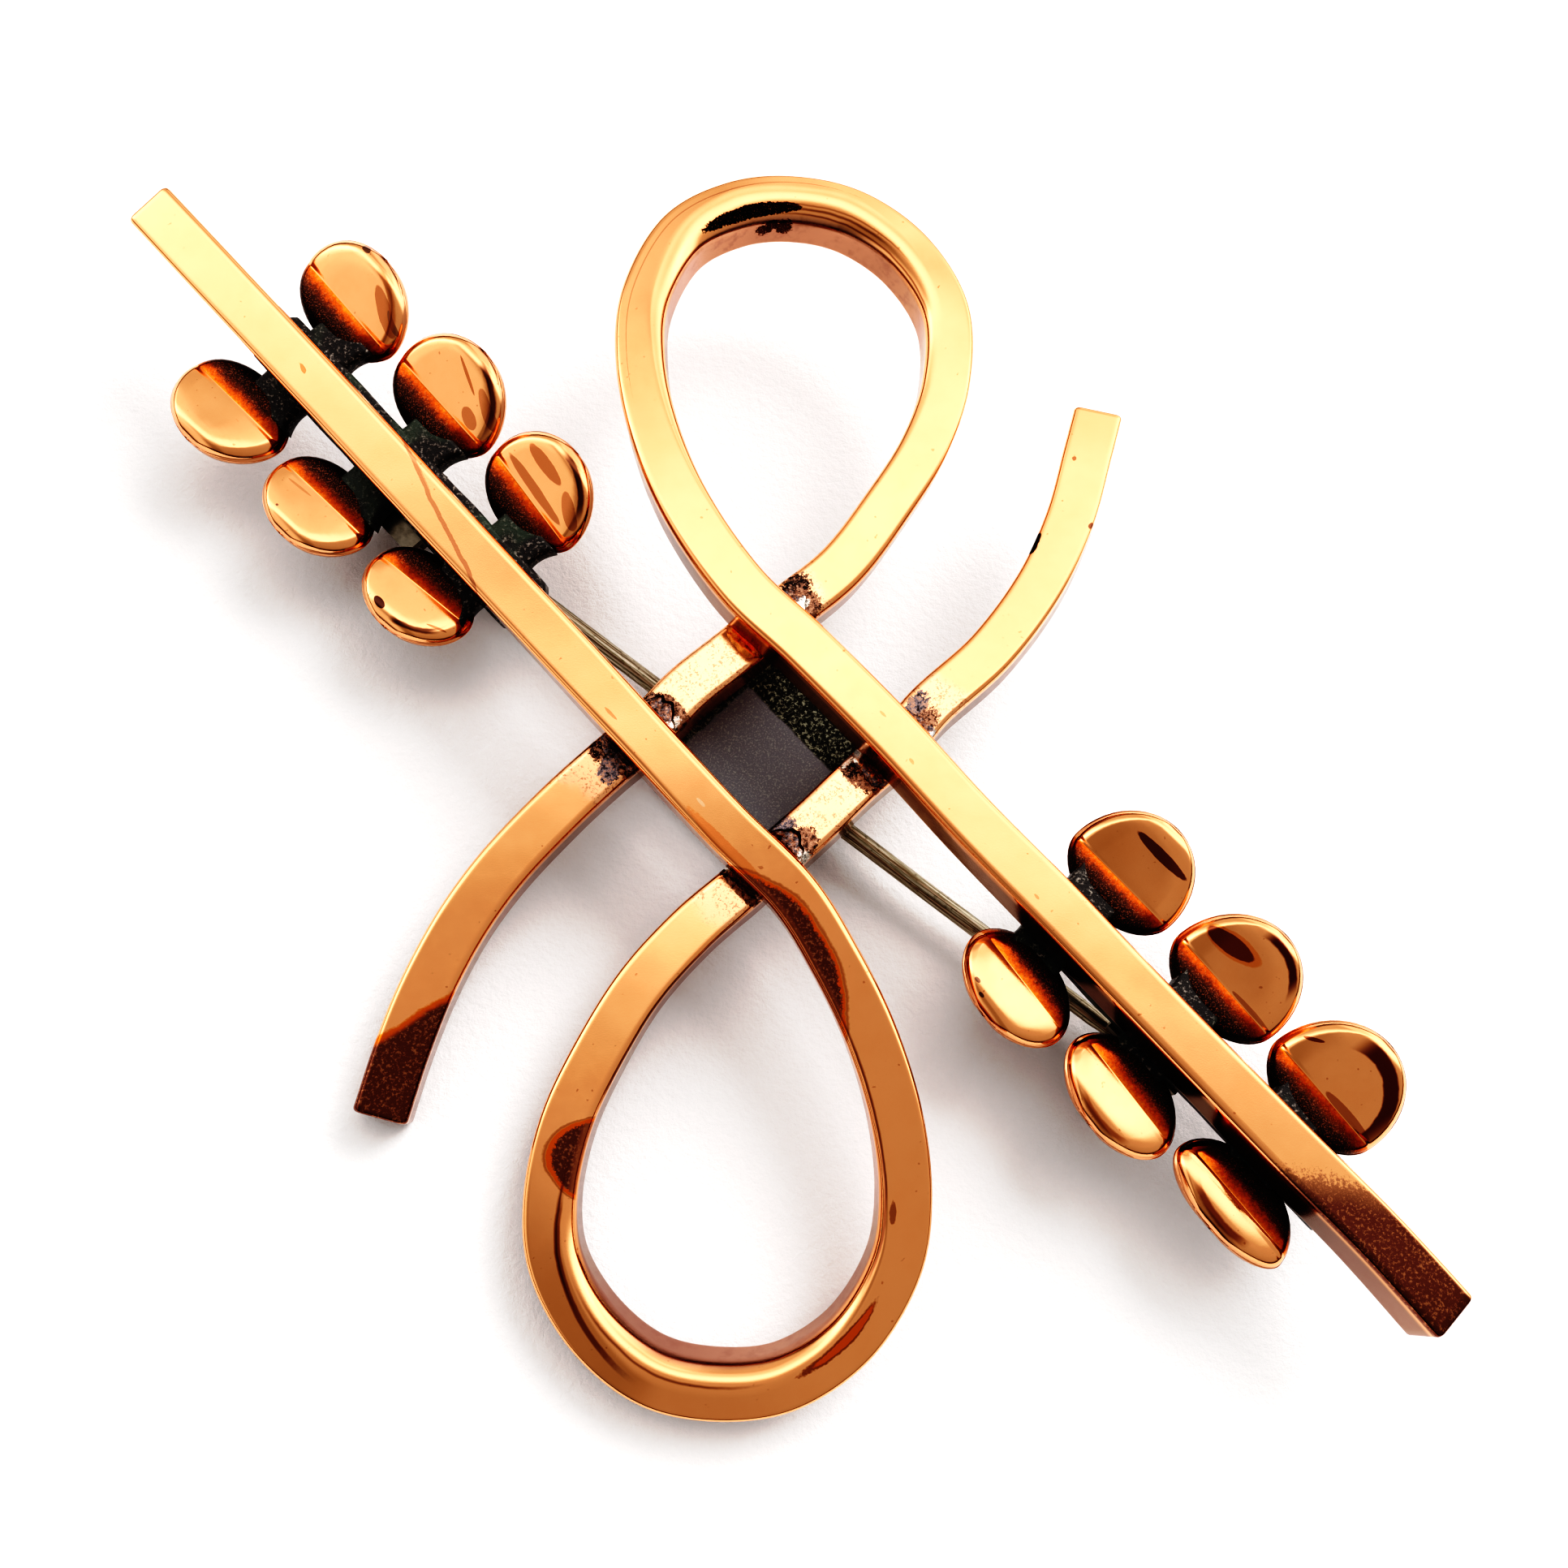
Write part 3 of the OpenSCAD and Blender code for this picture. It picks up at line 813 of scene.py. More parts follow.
def copper_bar(name, side_colours_and_shade, stains, pits=(), marks_and_reflections=(), reflection_patches=(), ends=(), lines=(), blots_and_reflections=()):
    """A bar's material; the layer that each list goes to says what its rows hold."""
    p = BarPaint(name)
    color = polish(p)
    for layer, rows in ((pitted, pits), (marked_and_reflected, marks_and_reflections), (reflection_patched, reflection_patches), (ended, ends),
                        (walled_and_shaded, side_colours_and_shade), (reflection_lined, lines), (blotted_and_reflected, blots_and_reflections)):
        color = layer(p, color, rows) if rows else color
    color, grime = stained(p, color, stains)
    rough = p.ramp(p.noise(1.2, 3, 0.6), 0.3, 0.8, 0.08, 0.15)
    rough = p.add(rough, p.times(p.wall, 0.09), p.times(grime, 0.22))
    height = p.add(p.times(p.fine, 0.2), p.times(grime, p.speck, 2.0))
    return p.finish(color, 1.0, rough, p.bump(height, 0.22, 0.02))


copper_a = copper_bar(
    "copper_a",
    pits=[(26.7, 27.3), (27.9, 29.3), (30.1, 30.75)],
    marks_and_reflections=[
        # the first two rows paint a dark reflection with a flame-coloured core, and the row at run 10.6 a
        # darker painted reflection; the rest are spots, slanted lines and chips
        (17.5, -0.22, 0.68, 0.26, 0.0, (0.36, 0.14, 0.07), 0.9),
        (17.45, -0.22, 0.56, 0.17, 0.0, FLAME, 1.0),
        (2.76, 0.02, 0.07, 0.13, 0.3, (0.60, 0.22, 0.10), 0.8),
        (15.70, -0.6, 0.16, 0.16, 0.0, (0.40, 0.17, 0.09), 0.8),
        (5.2, 0.1, 0.10, 1.5, 0.83, (0.52, 0.25, 0.15), 0.85),
        (4.75, 0.7, 0.10, 0.35, 0.83, (0.60, 0.28, 0.17), 0.55),
        (10.6, -0.75, 0.75, 0.28, 0.0, (0.80, 0.31, 0.13), 0.6),
        (8.39, -0.45, 0.11, 0.08, 0.0, SPOT_BROWN, 0.8),
        (9.99, -0.15, 0.07, 0.09, 0.0, (0.99, 0.68, 0.45), 0.7),
        (32.85, 1.15, 0.14, 0.2, 0.0, SOOT, 1.0),
        (33.32, -1.1, 0.07, 0.12, 0.0, (0.22, 0.10, 0.07), 0.9),
        (34.04, 0.6, 0.05, 0.12, 0.0, (0.30, 0.12, 0.07), 0.8),
    ],
    # painted dark reflections on the face, each a bay with a flame-coloured border
    reflection_patches=[(12.1, 1.35, -1.25, 0.12, 0.14), (23.2, 0.58, -1.3, 0.52, 0.26)],
    side_colours_and_shade=[
        # side colours along the run: dull oxide with painted shade and reflection
        (0.0, (0.45, 0.25, 0.17)), (14.5, (0.50, 0.26, 0.18)), (18.7, (0.51, 0.30, 0.23)),
        (20.0, (0.40, 0.23, 0.18)), (22.2, (0.31, 0.17, 0.13)), (24.9, (0.37, 0.21, 0.16)),
        (26.0, (0.46, 0.26, 0.20)), (27.0, (0.36, 0.18, 0.14)), (28.4, (0.46, 0.33, 0.28)),
        (29.5, (0.33, 0.16, 0.09)), (30.9, (0.20, 0.10, 0.07)), (33.0, (0.34, 0.19, 0.14)),
    ],
    lines=[
        # painted dark reflection lines along the edges
        (13.2, 16.8, 0.95, 0.95, 0.07, 0.5, (0.34, 0.14, 0.09), 0.8),
        (13.2, 17.6, 1.18, 1.18, 0.04, 0.6, (0.40, 0.17, 0.11), 0.7),
        (20.5, 22.6, -0.15, 0.50, 0.13, 0.35, (0.36, 0.15, 0.08), 0.9),
        (21.4, 23.0, 0.10, 0.60, 0.05, 0.35, (0.20, 0.08, 0.055), 0.8),
        (19.0, 21.3, 0.42, 0.55, 0.05, 0.5, (0.30, 0.13, 0.07), 0.8),
        (24.0, 27.0, 1.2, 1.2, 0.08, 0.3, (0.12, 0.06, 0.045), 0.9),
    ],
    stains=[
        (28.02, 0.75, 0.26, 0.75, BLUE_GREY), (28.05, -0.35, 0.26, 0.8, UMBER),
        (28.0, -0.95, 0.10, 0.30, SILVER), (29.22, 0.1, 0.17, 1.3, UMBER), (29.15, 0.55, 0.10, 0.4, SOOT),
        (29.2, 0.98, 0.10, 0.2, SILVER), (30.28, 0.45, 0.22, 0.5, BLUE_GREY), (30.2, -0.45, 0.22, 0.6, UMBER),
        (30.12, -0.95, 0.10, 0.2, SILVER), (27.2, 0.0, 0.09, 1.4, UMBER), (27.2, 1.0, 0.06, 0.3, SOOT),
    ])
copper_b = copper_bar(
    "copper_b",
    pits=[(25.0, 25.3), (26.2, 27.5), (28.2, 28.9)],
    marks_and_reflections=[
        (17.3, 0.62, 2.2, 0.035, 0.03, (0.62, 0.30, 0.17), 0.8),
        (7.2, 0.5, 0.05, 0.07, 0.0, SPOT_BROWN, 0.7),
        (9.45, 0.35, 0.06, 0.09, 0.0, SPOT_BROWN, 0.7),
        (10.1, -0.2, 0.05, 0.07, 0.0, SPOT_BROWN, 0.7),
    ],
    # dark tarnish with painted dark reflection at the tip, and a painted dark reflection with a
    # flame-coloured edge past run 32.22
    ends=[(2.5, -0.42, -1.0, 1.0, -1.02), (32.22, 0.35, 1.0, 0.1, -1.6)],
    side_colours_and_shade=[
        # side colours along the run: dull oxide with painted shade and reflection
        (0.0, (0.38, 0.23, 0.18)), (2.0, (0.31, 0.21, 0.17)), (4.0, (0.42, 0.26, 0.19)),
        (7.8, (0.49, 0.31, 0.23)), (9.2, (0.52, 0.25, 0.12)), (11.2, (0.56, 0.30, 0.19)),
        (13.1, (0.29, 0.19, 0.16)), (15.5, (0.42, 0.25, 0.19)), (17.6, (0.62, 0.36, 0.26)),
        (20.7, (0.58, 0.34, 0.24)), (21.8, (0.43, 0.26, 0.20)), (25.4, (0.37, 0.25, 0.21)),
        (26.1, (0.90, 0.42, 0.27)), (27.6, (0.85, 0.40, 0.27)), (28.1, (0.28, 0.15, 0.12)),
        (28.8, (0.44, 0.27, 0.21)), (32.3, (0.34, 0.20, 0.16)),
    ],
    lines=[
        # painted dark reflection lines along the edges
        (18.6, 20.3, 0.62, 0.62, 0.03, 0.3, (0.38, 0.17, 0.09), 0.8),
        (18.6, 20.0, 0.84, 0.84, 0.06, 0.3, (0.34, 0.15, 0.08), 0.85),
        (18.6, 21.2, 1.10, 1.10, 0.04, 0.4, (0.30, 0.12, 0.07), 0.9),
    ],
    blots_and_reflections=[
        # the first two rows paint a black reflection near the edge; the last three are stains on the side
        (18.05, 0.82, 0.68, 0.36, 1.6, (0.04, 0.02, 0.018), 1.0),
        (18.52, 0.74, 0.26, 0.22, 1.6, (0.07, 0.03, 0.025), 0.9),
        (18.25, 1.95, 0.12, 0.36, 3.4, (0.08, 0.035, 0.03), 0.95),
        (18.38, 1.72, 0.12, 0.30, 3.4, (0.08, 0.035, 0.03), 0.95),
        (18.55, 1.85, 0.12, 0.45, 3.4, (0.08, 0.035, 0.03), 0.95),
    ],
    stains=[
        (25.22, -0.55, 0.20, 0.7, SOOT), (25.28, 0.35, 0.18, 0.8, UMBER), (25.36, 0.35, 0.14, 0.20, SILVER),
        (26.06, -0.7, 0.06, 0.4, SOOT), (27.42, 0.2, 0.17, 1.1, UMBER), (27.46, -0.7, 0.12, 0.5, SOOT),
        (27.47, 0.8, 0.09, 0.22, SILVER), (28.30, -0.6, 0.18, 0.6, SOOT), (28.38, 0.35, 0.2, 0.6, BLUE_GREY),
        (28.24, 0.9, 0.12, 0.4, UMBER),
    ])
dress(copper_a, ribbon_a)
dress(copper_b, ribbon_b)

# colours across a leaf's flat half, up to its crease: black patina, then a painted flame-coloured highlight
# along the crease
CREASE_PATINA_AND_HIGHLIGHT = [(-1.7, (0.030, 0.024, 0.023)), (-0.9, (0.085, 0.040, 0.030)), (-0.62, (0.20, 0.065, 0.03)),
               (-0.30, (0.50, 0.13, 0.03)), (-0.05, (0.72, 0.24, 0.06))]


def leaf_copper(name, marks, bands):
    """Folded leaf: black patina on the flat half, a painted flame-coloured highlight along the crease,
    polished raised half.
    marks: painted dark reflections and stains, as (across, along, across radius, along radius, turn in
    degrees, colour, share)
    bands: painted dark reflections along the rim, as (from rim, to rim, along, along radius, colour, share)"""
    p = Paint(name)
    across, along, rim, face = [p.value(key) for key in ("across", "along", "rim", "face")]
    speck = p.noise(6.0, 3, 0.7)
    fine = p.noise(14.0, 2, 0.7)
    grain = p.add(speck, -0.5)
    wander = p.uneven(0.9, 3, 0.6)
    y = p.add(across, p.times(wander, 0.45), p.times(grain, 0.7))
    # black patina with a painted flame-coloured highlight at the crease
    inner = p.over(p.stops(y, CREASE_PATINA_AND_HIGHLIGHT), (0.46, 0.21, 0.13), p.ramp(fine, 0.54, 0.64), 0.6)
    outer = p.over(COPPER, (0.78, 0.34, 0.16), p.ramp(p.noise(0.7, 3, 0.6), 0.35, 0.75), 0.12)
    outer = p.over(outer, (0.42, 0.17, 0.09), p.ramp(p.noise(3.4, 1, 0.5), 0.72, 0.8), 0.5)
    shown = p.ramp(face, 0.2, 0.6)
    uneven = p.times(p.add(wander, p.times(grain, 0.3)), 0.6)
    for a0, l0, ra, rl, turn, shade, share in marks:
        da, dl = p.add(across, -a0), p.add(along, -l0)
        x = p.times(p.add(p.times(da, cosd(turn)), p.times(dl, sind(turn))), 1 / ra)
        z = p.times(p.add(p.times(dl, cosd(turn)), p.times(da, -sind(turn))), 1 / rl)
        outer = p.over(outer, shade, p.fall(p.mark(x, z, uneven), 0.85, 1.05), shown, share)
    for r0, r1, l0, rl, shade, share in bands:
        z = p.off(along, l0, rl)
        thin = p.times(p.fall(p.times(z, z), 0.3, 1.0), p.ramp(across, 0.1, 0.25))
        edge = p.band(p.add(rim, p.times(wander, 0.12)), r0, r1, 0.05)
        outer = p.over(outer, shade, edge, thin, shown, share)
    color = p.over(inner, outer, p.ramp(across, -0.08, 0.04))
    color = p.over(color, (0.16, 0.08, 0.06), p.fall(face, -0.95, -0.5), 0.7)
    side = p.times(p.fall(face, 0.3, 0.75), p.ramp(across, -0.6, 0.4))
    color = p.over(color, ROSE, side, 0.45)
    black = p.fall(y, -0.9, -0.4)
    rough = p.add(p.times(black, 0.30), p.ramp(p.noise(1.6, 3, 0.6), 0.3, 0.8, 0.07, 0.13))
    height = p.add(p.times(speck, p.add(p.times(black, 0.9), 0.05)), p.times(fine, 0.05))
    return p.finish(color, p.ramp(black, 0.0, 1.0, 1.0, 0.6), rough, p.bump(height, 0.3, 0.03))


# dark reflections and stains on the raised halves, by leaf
leaf_marks = {
    "leaf_a_right_1": [
        (1.45, 1.85, 0.36, 1.25, 30, WARM_BROWN, 0.9), (1.3, 2.5, 0.13, 0.6, 32, UMBER, 0.8),
        (2.75, -0.92, 0.12, 0.28, 0, UMBER, 1.0)],
    "leaf_a_right_2": [
        (2.1, 0.35, 0.09, 1.0, 25, (0.50, 0.21, 0.11), 0.9),
        (0.7, 1.75, 0.34, 0.6, 20, WARM_BROWN, 0.9), (1.6, 2.2, 0.28, 1.1, 30, WARM_BROWN, 0.8)],
    "leaf_a_right_3": [
        (0.66, -0.1, 0.26, 2.3, 2, WARM_BROWN, 0.95),
        (1.9, -0.55, 0.34, 1.35, 0, WARM_BROWN, 0.95),
        (1.4, 2.0, 0.35, 1.0, 30, WARM_BROWN, 0.85)],
    "leaf_a_left_3": [
        (2.15, -0.92, 0.22, 0.42, -15, (0.13, 0.07, 0.055), 1.0),
        (1.25, 2.15, 0.07, 0.55, 20, (0.42, 0.17, 0.09), 0.8)],
    "leaf_a_left_2": [
        (0.55, -1.2, 0.07, 0.8, 5, (0.62, 0.26, 0.14), 0.6),
        (2.1, -1.1, 0.07, 0.08, 0, UMBER, 0.9)],
    "leaf_b_right_3": [(2.42, -0.35, 0.27, 1.7, 0, (0.27, 0.12, 0.085), 1.0)],
    "leaf_b_right_2": [
        (1.75, 1.25, 0.60, 1.5, 12, FLAME, 0.55),
        (1.70, 1.4, 0.44, 1.3, 12, (0.30, 0.12, 0.075), 1.0),
        (0.3, -1.6, 0.14, 1.3, 0, RED_BROWN, 0.6)],
    "leaf_b_right_1": [
        (1.5, 2.35, 0.10, 0.5, 38, (0.30, 0.10, 0.06), 0.9),
        (0.35, -1.3, 0.25, 1.5, 0, RED_BROWN, 0.7)],
    "leaf_b_left_3": [(1.9, 1.46, 0.1, 0.18, 0, UMBER, 1.0), (2.2, 0.81, 0.08, 0.16, 0, UMBER, 1.0)],
}
# painted dark reflection bands that follow the rim, by leaf
leaf_rim_reflections = {
    "leaf_a_right_1": [(0.25, 0.5, 1.6, 1.5, (0.50, 0.20, 0.10), 0.7)],
    "leaf_a_right_2": [(0.2, 0.42, 1.7, 1.4, (0.16, 0.07, 0.05), 0.9)],
    "leaf_a_right_3": [(0.2, 0.45, 1.2, 1.7, (0.13, 0.06, 0.045), 0.9)],
    "leaf_a_left_3": [(0.3, 0.55, 1.2, 1.3, (0.12, 0.055, 0.04), 0.9)],
    "leaf_b_right_2": [(0.3, 0.62, -0.7, 1.6, (0.20, 0.08, 0.06), 1.0)],
    "leaf_b_right_1": [(0.35, 0.95, -1.0, 2.2, (0.22, 0.085, 0.06), 1.0)],
    "leaf_b_left_2": [(0.2, 0.4, -0.2, 1.6, (0.45, 0.18, 0.09), 0.8)],
    "leaf_b_left_1": [(0.2, 0.45, 0.2, 1.8, (0.36, 0.14, 0.08), 0.9)],
}
for piece in leaf_pieces_a + leaf_pieces_b:
    marks, bands = leaf_marks.get(piece.name, []), leaf_rim_reflections.get(piece.name, [])
    dress(leaf_copper(piece.name + "_copper", marks, bands), piece)


def black_patina():
    """Nearly black, pitted patina of the strips and necks, a little green in places."""
    p = Paint("black_patina")
    speck = p.noise(5.0, 4, 0.7)
    tint = p.noise(0.35, 2, 0.5)
    color = p.mix(p.ramp(speck, 0.52, 0.68), (0.055, 0.050, 0.050), (0.34, 0.31, 0.28))
    color = p.over(color, (0.09, 0.12, 0.095), p.ramp(tint, 0.50, 0.64), 0.6)
    return p.finish(color, 0.1, p.ramp(speck, 0.3, 0.7, 0.30, 0.45), p.bump(speck, 0.6, 0.06))


dress(black_patina(), stem_a, stem_b)


# Solder at the crossings
no_bright = 9.0
# [lower bar, upper bar, side of the upper bar, reach out on the lower bar, lat of the bright end,
# share of bare copper]
joins = [
    ["a", "a", -1, 0.3, 1.1, 0.0], ["a", "a", 1, 1.1, -1.0, 0.0],
    ["a", "b", 1, 0.55, 0.95, 0.35], ["a", "b", -1, 1.2, -1.05, 0.0],
    ["b", "b", -1, 1.3, 0.5, 0.0], ["b", "b", 1, 0.45, no_bright, 1.0],
    ["b", "a", 1, 1.1, 0.85, 0.0], ["b", "a", -1, 0.55, no_bright, 0.3],
]
# a run's half length, its rise up the wall, and the fill of its corner when it is thin or wide
bead_half, bead_rise = 1.12, 0.42
thin_fill, wide_fill, wide_reach = 0.10, 0.19, 0.8
# how far its hidden back is tucked away: behind the wall, low and high, and upwards or downwards
back_low, back_high, tuck = 0.15, 0.12, 0.06
curve_steps = 9


def crossing(low_rows, up_rows):
    """Places along two bars where the first half of one passes over the second half of the other."""
    us, vs = np.arange(22, 31, 0.2), np.arange(3, 12, 0.2)
    low_line = np.array([row_at(low_rows, u)[:2] for u in us])
    up_line = np.array([row_at(up_rows, v)[:2] for v in vs])
    apart = np.linalg.norm(low_line[:, None] - up_line[None], axis=2)
    i, j = np.unravel_index(np.argmin(apart), apart.shape)
    return us[i], vs[j]


def solder_piece(number, lower, upper, side, reach, bright, bare):
    """Solder run along the foot of the upper bar's wall, on the lower bar's top."""
    tables = dict(a=rows_a, b=rows_b)
    low_rows, up_rows = on_plan(tables[lower]), on_plan(tables[upper])

    def seat(u, v, lat):
        """A place on the lower bar's top, the foot of the upper bar's wall, its out and its up."""
        mid, left, up, half = bar_frame(low_rows, u)
        on_low = mid + up * half + left * lat
        mid, left, up, half = bar_frame(up_rows, v)
        return on_low, mid + left * half * side - up * half, left * side, up

    def gap(u, v, lat):
        on_low, foot, _, _ = seat(u, v, lat)
        return (on_low - foot)[:2]

    u, v = crossing(low_rows, up_rows)
    points, near = [], []
    lats = np.linspace(-bead_half, bead_half, 29)
    for lat in lats:
        # steps towards the place on the lower bar that is right under the foot
        for _ in range(6):
            here, step = gap(u, v, lat), 0.01
            slope = np.c_[(gap(u + step, v, lat) - here) / step, (gap(u, v + step, lat) - here) / step]
            du, dv = np.linalg.solve(slope, -here)
            u, v = u + du, v + dv
        a, b, out, up = seat(u, v, lat)
        uneven = 1 + 0.45 * wave(a, 0.7, 3.0 + number) + 0.2 * wave(a, 0.3, 9.0 + number)
        size = uneven * max(1 - (lat / (bead_half + 0.02)) ** 4, 0.05)
        top = b + up * bead_rise * size - out * 0.03
        foot = a + out * reach * size - up * 0.02
        corner = a + out * 0.12 + up * (wide_fill if reach > wide_reach else thin_fill)
        ring = [a - out * back_low - up * tuck, b - out * back_high + up * tuck]
        for k in range(curve_steps):
            t = k / (curve_steps - 1)
            q = top * (1 - t) ** 2 + corner * 2 * t * (1 - t) + foot * t * t
            ripple = 0.03 * wave(q, 0.35, 5.0 + number) if 0 < t < 1 else 0
            ring.append(q + up * ripple)
        points += ring
        near += [abs(lat - bright)] * len(ring)
    piece = solid_mesh("solder_%d" % number, leaning, points, tube_faces(len(lats), len(ring)),
                       dict(near=near, bare=[bare] * len(near)))
    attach(piece, "brooch")
    return piece


def solder_metal():
    """Mottled solder, bright near one end and bare copper in places."""
    p = Paint("solder")
    speck = p.noise(4.5, 3, 0.7)
    mottle = p.noise(5.5, 5, 0.8)
    color = p.mix(p.ramp(speck, 0.42, 0.58), (0.27, 0.15, 0.11), (0.22, 0.19, 0.20))
    color = p.over(color, SOOT, p.fall(mottle, 0.42, 0.49), 0.85)
    color = p.over(color, (0.58, 0.35, 0.25), p.ramp(mottle, 0.54, 0.62))
    clean = p.add(p.value("bare"), p.times(p.add(mottle, -0.5), 1.4))
    color = p.over(color, (0.70, 0.30, 0.12), p.ramp(clean, 0.4, 0.6))
    near = p.add(p.value("near"), p.times(p.add(speck, -0.5), 0.9))
    color = p.over(color, (0.88, 0.84, 0.78), p.fall(near, 0.14, 0.34))
    return p.finish(color, 1.0, p.ramp(speck, 0.3, 0.7, 0.16, 0.32), p.bump(speck, 0.5, 0.03))


solder_pieces = [solder_piece(i + 1, *join) for i, join in enumerate(joins)]
dress(solder_metal(), *solder_pieces)


# Centre plate
def plate_piece():
    """Square plate with softened edges."""
    at = plan(*plate_seen, 0)
    place = leaning @ move4(at[0], at[1], -plate_gap - plate_t / 2) @ turn4((0, 0, 1), plate_bearing)
    half, e, soft = plate_side / 2, plate_t / 2, 0.12
    grid = [-half] + list(np.linspace(soft - half, half - soft, 33)) + [half]
    n = len(grid)
    points, faces = [], []
    for top in (1, -1):
        for x in grid:
            for y in grid:
                z = e - soft if half in (abs(x), abs(y)) else e + 0.01 * wave((x, y, top), 1.1, 6)
                points.append((x, y, top * z))
    for first in (0, n * n):
        for i in range(n - 1):
            for j in range(n - 1):
                a = first + i * n + j
                quad = (a, a + n, a + n + 1, a + 1)
                faces.append(quad if first == 0 else quad[::-1])
    rim = [i * n for i in range(n)] + [(n - 1) * n + j for j in range(1, n)]
    rim += [i * n + n - 1 for i in range(n - 2, -1, -1)] + list(range(n - 2, 0, -1))
    for a, b in zip(rim, rim[1:] + rim[:1]):
        faces.append((a, b, b + n * n, a + n * n))
    piece = solid_mesh("centre_plate_slab", place, points, faces,
                       dict(px=[q[0] for q in points], py=[q[1] for q in points]))
    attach(piece, "brooch")
    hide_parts("centre_plate")
    return piece


def plate_patina():
    """Dull grey, with pitted green-black strips along two edges."""
    p = Paint("plate_patina")
    speck = p.noise(5.5, 4, 0.75)
    fine = p.noise(12.0, 3, 0.7)
    wobble = p.times(p.uneven(1.2, 2, 0.5), 0.3)
    strip_x = p.ramp(p.add(p.value("px"), wobble), 1.15, 1.3)
    strip_y = p.ramp(p.add(p.value("py"), wobble), 2.7, 2.85)
    strip = p.math("MAXIMUM", strip_x, p.times(strip_y, 0.8))
    dull = p.mix(p.ramp(fine, 0.5, 0.68), (0.25, 0.245, 0.262), (0.40, 0.39, 0.37))
    green = p.mix(p.ramp(speck, 0.50, 0.62), (0.05, 0.05, 0.045), (0.36, 0.36, 0.29))
    height = p.add(p.times(fine, 0.4), p.times(strip, speck, 2.0))
    return p.finish(p.mix(strip, dull, green), 0.0, 0.6, p.bump(height, 0.5, 0.04))


dress(plate_patina(), plate_piece())


# Pin, its joint and its catch
def wire_rings():
    """Rings of the wire as lists of points, from the eye to the tapered point."""
    sides, wire_from, tip_r, end_r = 32, 0.72, 0.12, 0.05
    straight = pin_length + past_catch - point_l
    end = straight + point_l
    xs = [wire_from, 0.8] + list(np.linspace(0.9, straight, 90))
    xs += list(np.linspace(straight + 0.3, end - 0.1, 14)) + [end - 0.04, end]
    rings = []
    for x in xs:
        share = min(max((x - straight) / point_l, 0), 1)
        r = end_r if x == end else pin_d / 2 + (tip_r - pin_d / 2) * share
        ring = []
        for k in range(sides):
            c, s = cosd(360 * k / sides), sind(360 * k / sides)
            w = r + 0.006 * wave((x * 0.2, 2 * c, 2 * s), 1.0, 3)
            ring.append((x, w * c, w * s))
        rings.append(ring)
    return rings


def eye_section():
    """Half section of the flattened eye, with softened edges: radius and place along the rivet."""
    eye_r, half_w, bore = 0.95, 0.475, 0.45
    half = [(bore, half_w - 0.06), (bore + 0.06, half_w), (eye_r - 0.1, half_w),
            (eye_r - 0.02, half_w - 0.05), (eye_r, half_w - 0.15)]
    return half + [(r, -y) for r, y in reversed(half)]


def pin_piece():
    """Drawn wire with a flattened eye round the rivet and a tapered point."""
    rings = wire_rings()
    sides, turns = len(rings[0]), 48
    points = [point for ring in rings for point in ring]
    values = dict(wire=[point[0] for point in points],
                  around=[k / sides for _ in rings for k in range(sides)])
    faces = tube_faces(len(rings), sides)
    start, cut = len(points), eye_section()
    m = len(cut)
    for i in range(turns):
        c, s = cosd(360 * i / turns), sind(360 * i / turns)
        points += [(r * c, y, r * s) for r, y in cut]
        values["wire"] += [r * c for r, _ in cut]
        values["around"] += [y for _, y in cut]
        a, b = start + i * m, start + (i + 1) % turns * m
        faces += [(a + j, b + j, b + (j + 1) % m, a + (j + 1) % m) for j in range(m)]
    piece = solid_mesh("pin_wire", at_rivet, points, faces, values)
    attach(piece, "pin")
    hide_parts("pin_stem")
    return piece


def drawn_wire():
    """Aged wire with lines drawn along it."""
    p = Paint("drawn_wire")
    lines_at = p.join(p.times(p.value("wire"), 0.12), p.times(p.value("around"), 14.0))
    lines = p.noise(2.2 * MM, 4, 0.7, where=lines_at)
    color = p.mix(p.ramp(lines, 0.42, 0.6), (0.25, 0.21, 0.15), (0.62, 0.56, 0.46))
    color = p.over(color, (0.10, 0.085, 0.06), p.ramp(p.noise(4.0, 3, 0.7), 0.55, 0.7), 0.5)
    return p.finish(color, 0.8, 0.38, p.bump(lines, 0.35, 0.02))


def pin_plate():
    """Aged metal of the joint and the catch."""
    p = Paint("pin_plate")
    speck = p.noise(1.1, 5, 0.65)
    fine = p.noise(9.0, 3, 0.7)
    color = p.mix(p.ramp(speck, 0.35, 0.75), (0.30, 0.265, 0.22), (0.19, 0.17, 0.145))
    color = p.over(color, (0.11, 0.09, 0.075), p.ramp(fine, 0.60, 0.72), 0.6)
    return p.finish(color, 0.9, p.ramp(speck, 0.3, 0.7, 0.26, 0.38), p.bump(fine, 0.15, 0.02))


dress(drawn_wire(), pin_piece())
dress(pin_plate(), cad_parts["pin_joint"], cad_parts["pin_catch"])


# Floor and backdrop
floor_half = 450.0


def backdrop_piece():
    """A pale curved backdrop for low views, which leaves the light and the reflections alone."""
    sides, wall_r, bend_r, height, lift = 96, 430.0, 140.0, 900.0, 0.2
    profile = [(wall_r - bend_r * (1 - sind(a)), lift + bend_r * (1 - cosd(a))) for a in range(0, 91, 6)]
    profile.append((wall_r, height))
    n = len(profile)
    points, faces = [], []
    for k in range(sides):
        c, s = cosd(360 * k / sides), sind(360 * k / sides)
        points += [(r * c, r * s, z) for r, z in profile]
        a, b = k * n, (k + 1) % sides * n
        faces += [(a + i, a + i + 1, b + i + 1, b + i) for i in range(n - 1)]
    return new_mesh("backdrop", points, faces)


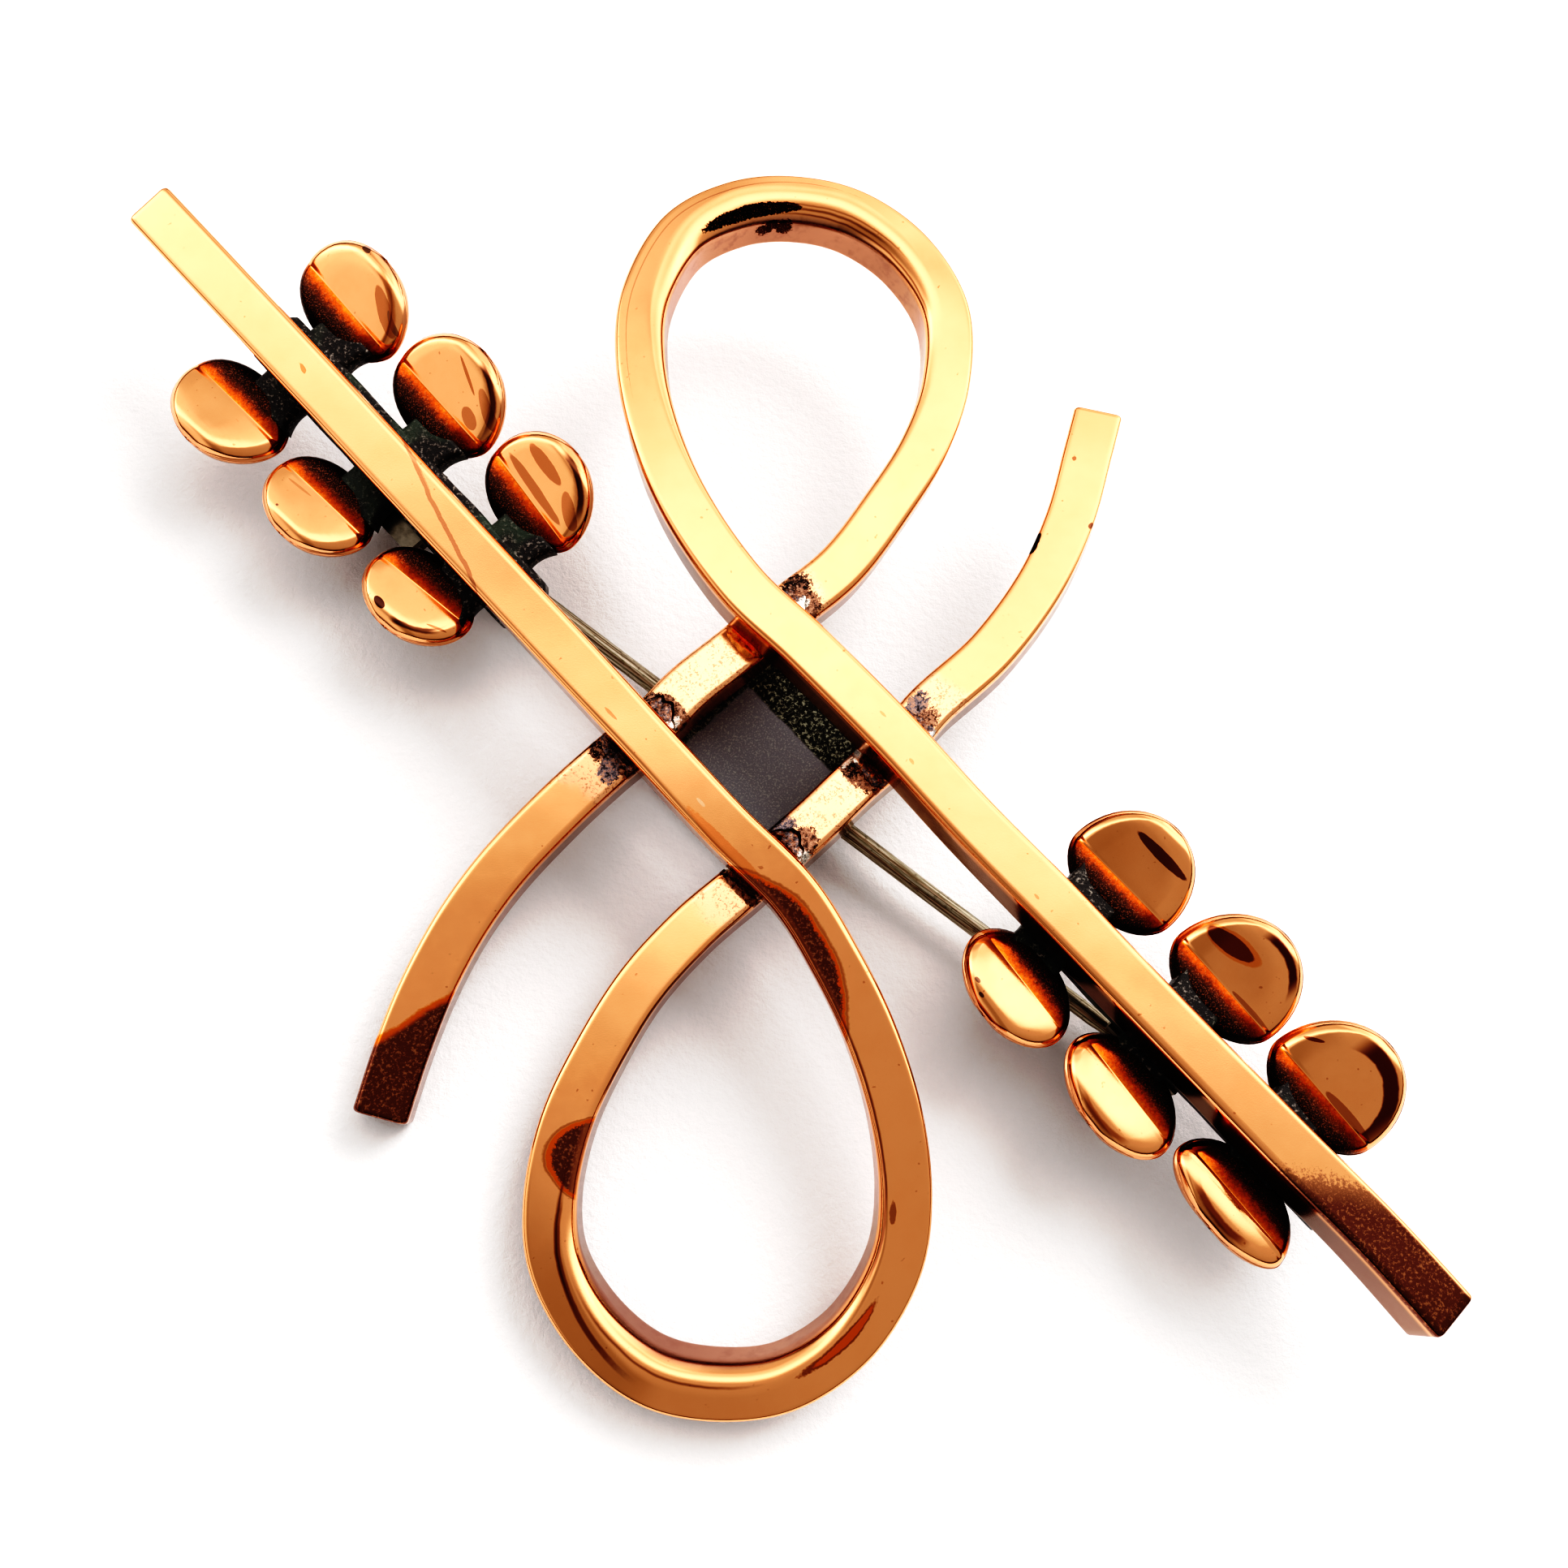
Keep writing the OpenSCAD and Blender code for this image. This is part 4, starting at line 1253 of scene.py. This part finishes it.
def white_board():
    """Faintly rough pale board."""
    p = Paint("white_board")
    return p.finish((0.90, 0.885, 0.885), 0.0, 0.8, p.bump(p.noise(2.0, 4, 0.7), 0.5, 0.16))


corners = [(-1, -1, 0), (1, -1, 0), (1, 1, 0), (-1, 1, 0)]
floor = new_mesh("floor", floor_half * np.array(corners), [(0, 1, 2, 3)])
backdrop = backdrop_piece()
backdrop.visible_glossy = backdrop.visible_diffuse = backdrop.visible_shadow = False
dress(white_board(), floor, backdrop)

# Light
world = bpy.data.worlds.new("studio")
scene.world = world
world.use_nodes = True
sky = Nodes(world.node_tree)
generated = sky.node("TexCoord").outputs["Generated"]
sky_x, sky_y, sky_z = sky.node("SeparateXYZ", (generated,)).outputs
# a bright panel overhead and a little behind, dimmer towards the viewer, dark low down
GREY_TOP = 3.0
sky_rows = [(-1.0, 0.66), (-0.6, 0.78), (-0.4, 0.80), (-0.25, 0.83), (0.0, 0.92), (0.03, 1.05),
            (0.075, 1.35), (0.12, 1.8), (0.15, 2.15), (0.17, 2.4), (0.24, 2.75), (0.40, 2.45), (0.45, 1.9),
            (0.48, 1.7), (0.53, 1.64), (0.59, 1.58), (0.615, 1.5), (0.65, 1.2), (0.68, 1.05), (1.0, 1.1)]
greys = [(y, (v / GREY_TOP,) * 3) for y, v in sky_rows]
panel = sky.times(sky.stops(sky.add(sky_y, sky.times(sky_x, 0.1)), greys), GREY_TOP)
west = sky.times(sky.ramp(sky_x, -0.55, -0.8), 0.75)
east = sky.times(sky.ramp(sky_x, 0.35, 0.7), sky.ramp(sky_y, 0.15, 0.4), 0.9)
north_east = sky.times(sky.ramp(sky_x, 0.0, 0.15), sky.ramp(sky_y, 0.45, 0.62), 0.7)
dip = sky.times(sky.ramp(sky_x, -0.25, -0.42), sky.ramp(sky_y, 0.0, -0.12), -0.22)
level = sky.times(sky.add(panel, west, east, north_east, dip), sky.ramp(sky_z, 0.04, 0.34, 0.12, 1.0))
back = world.node_tree.nodes["Background"]
sky.put(back.inputs["Strength"], level)
sky.put(back.inputs["Color"], (1.0, 0.985, 0.97))

key_at = Vector((0.22, 0.24, 0.30))
box = bpy.data.lights.new("key_box", "AREA")
box.shape = "RECTANGLE"
box.size = box.size_y = 0.26
box.energy = 2.0
key = bpy.data.objects.new("key_box", box)
scene.collection.objects.link(key)
key.location = key_at
key.rotation_euler = (-key_at).to_track_quat("-Z", "Y").to_euler()
key.visible_glossy = False

# Camera
camera = bpy.data.objects.new("camera", bpy.data.cameras.new("camera"))
scene.collection.objects.link(camera)
camera.data.sensor_width = 36
camera.data.lens = 36 * focal_px / image_px
camera.data.clip_start = 0.002
camera.data.clip_end = 10
spot = moved(leaning, [eye])[0] * MM
ahead = leaning[:3, :3] @ -sight
up = leaning[:3, :3] @ view_up
right = np.cross(ahead, up)
turned = Matrix([[right[i], up[i], -ahead[i]] for i in range(3)])
camera.matrix_world = Matrix.Translation(spot) @ turned.to_4x4()
scene.camera = camera

# contrast of the photograph: scene values in, shown values out
view = scene.view_settings
view.view_transform = "Standard"
view.look = "None"
view.exposure = 0.0
view.use_curve_mapping = True
CURVE_TOP = 1.25
curve_rows = [(0.0, 0.0), (0.10, 0.003), (0.17, 0.014), (0.28, 0.07), (0.42, 0.19), (0.5, 0.29),
              (0.7, 0.5), (0.93, 0.78), (CURVE_TOP, 1.0)]
mapping = view.curve_mapping
mapping.white_level = (CURVE_TOP,) * 3
mapping.use_clip = True
curve = mapping.curves[3]
for _ in curve_rows[2:]:
    curve.points.new(0.5, 0.5)
for point, (x, y) in zip(curve.points, curve_rows):
    point.location = (x / CURVE_TOP, y)
    point.handle_type = "AUTO_CLAMPED"
mapping.update()
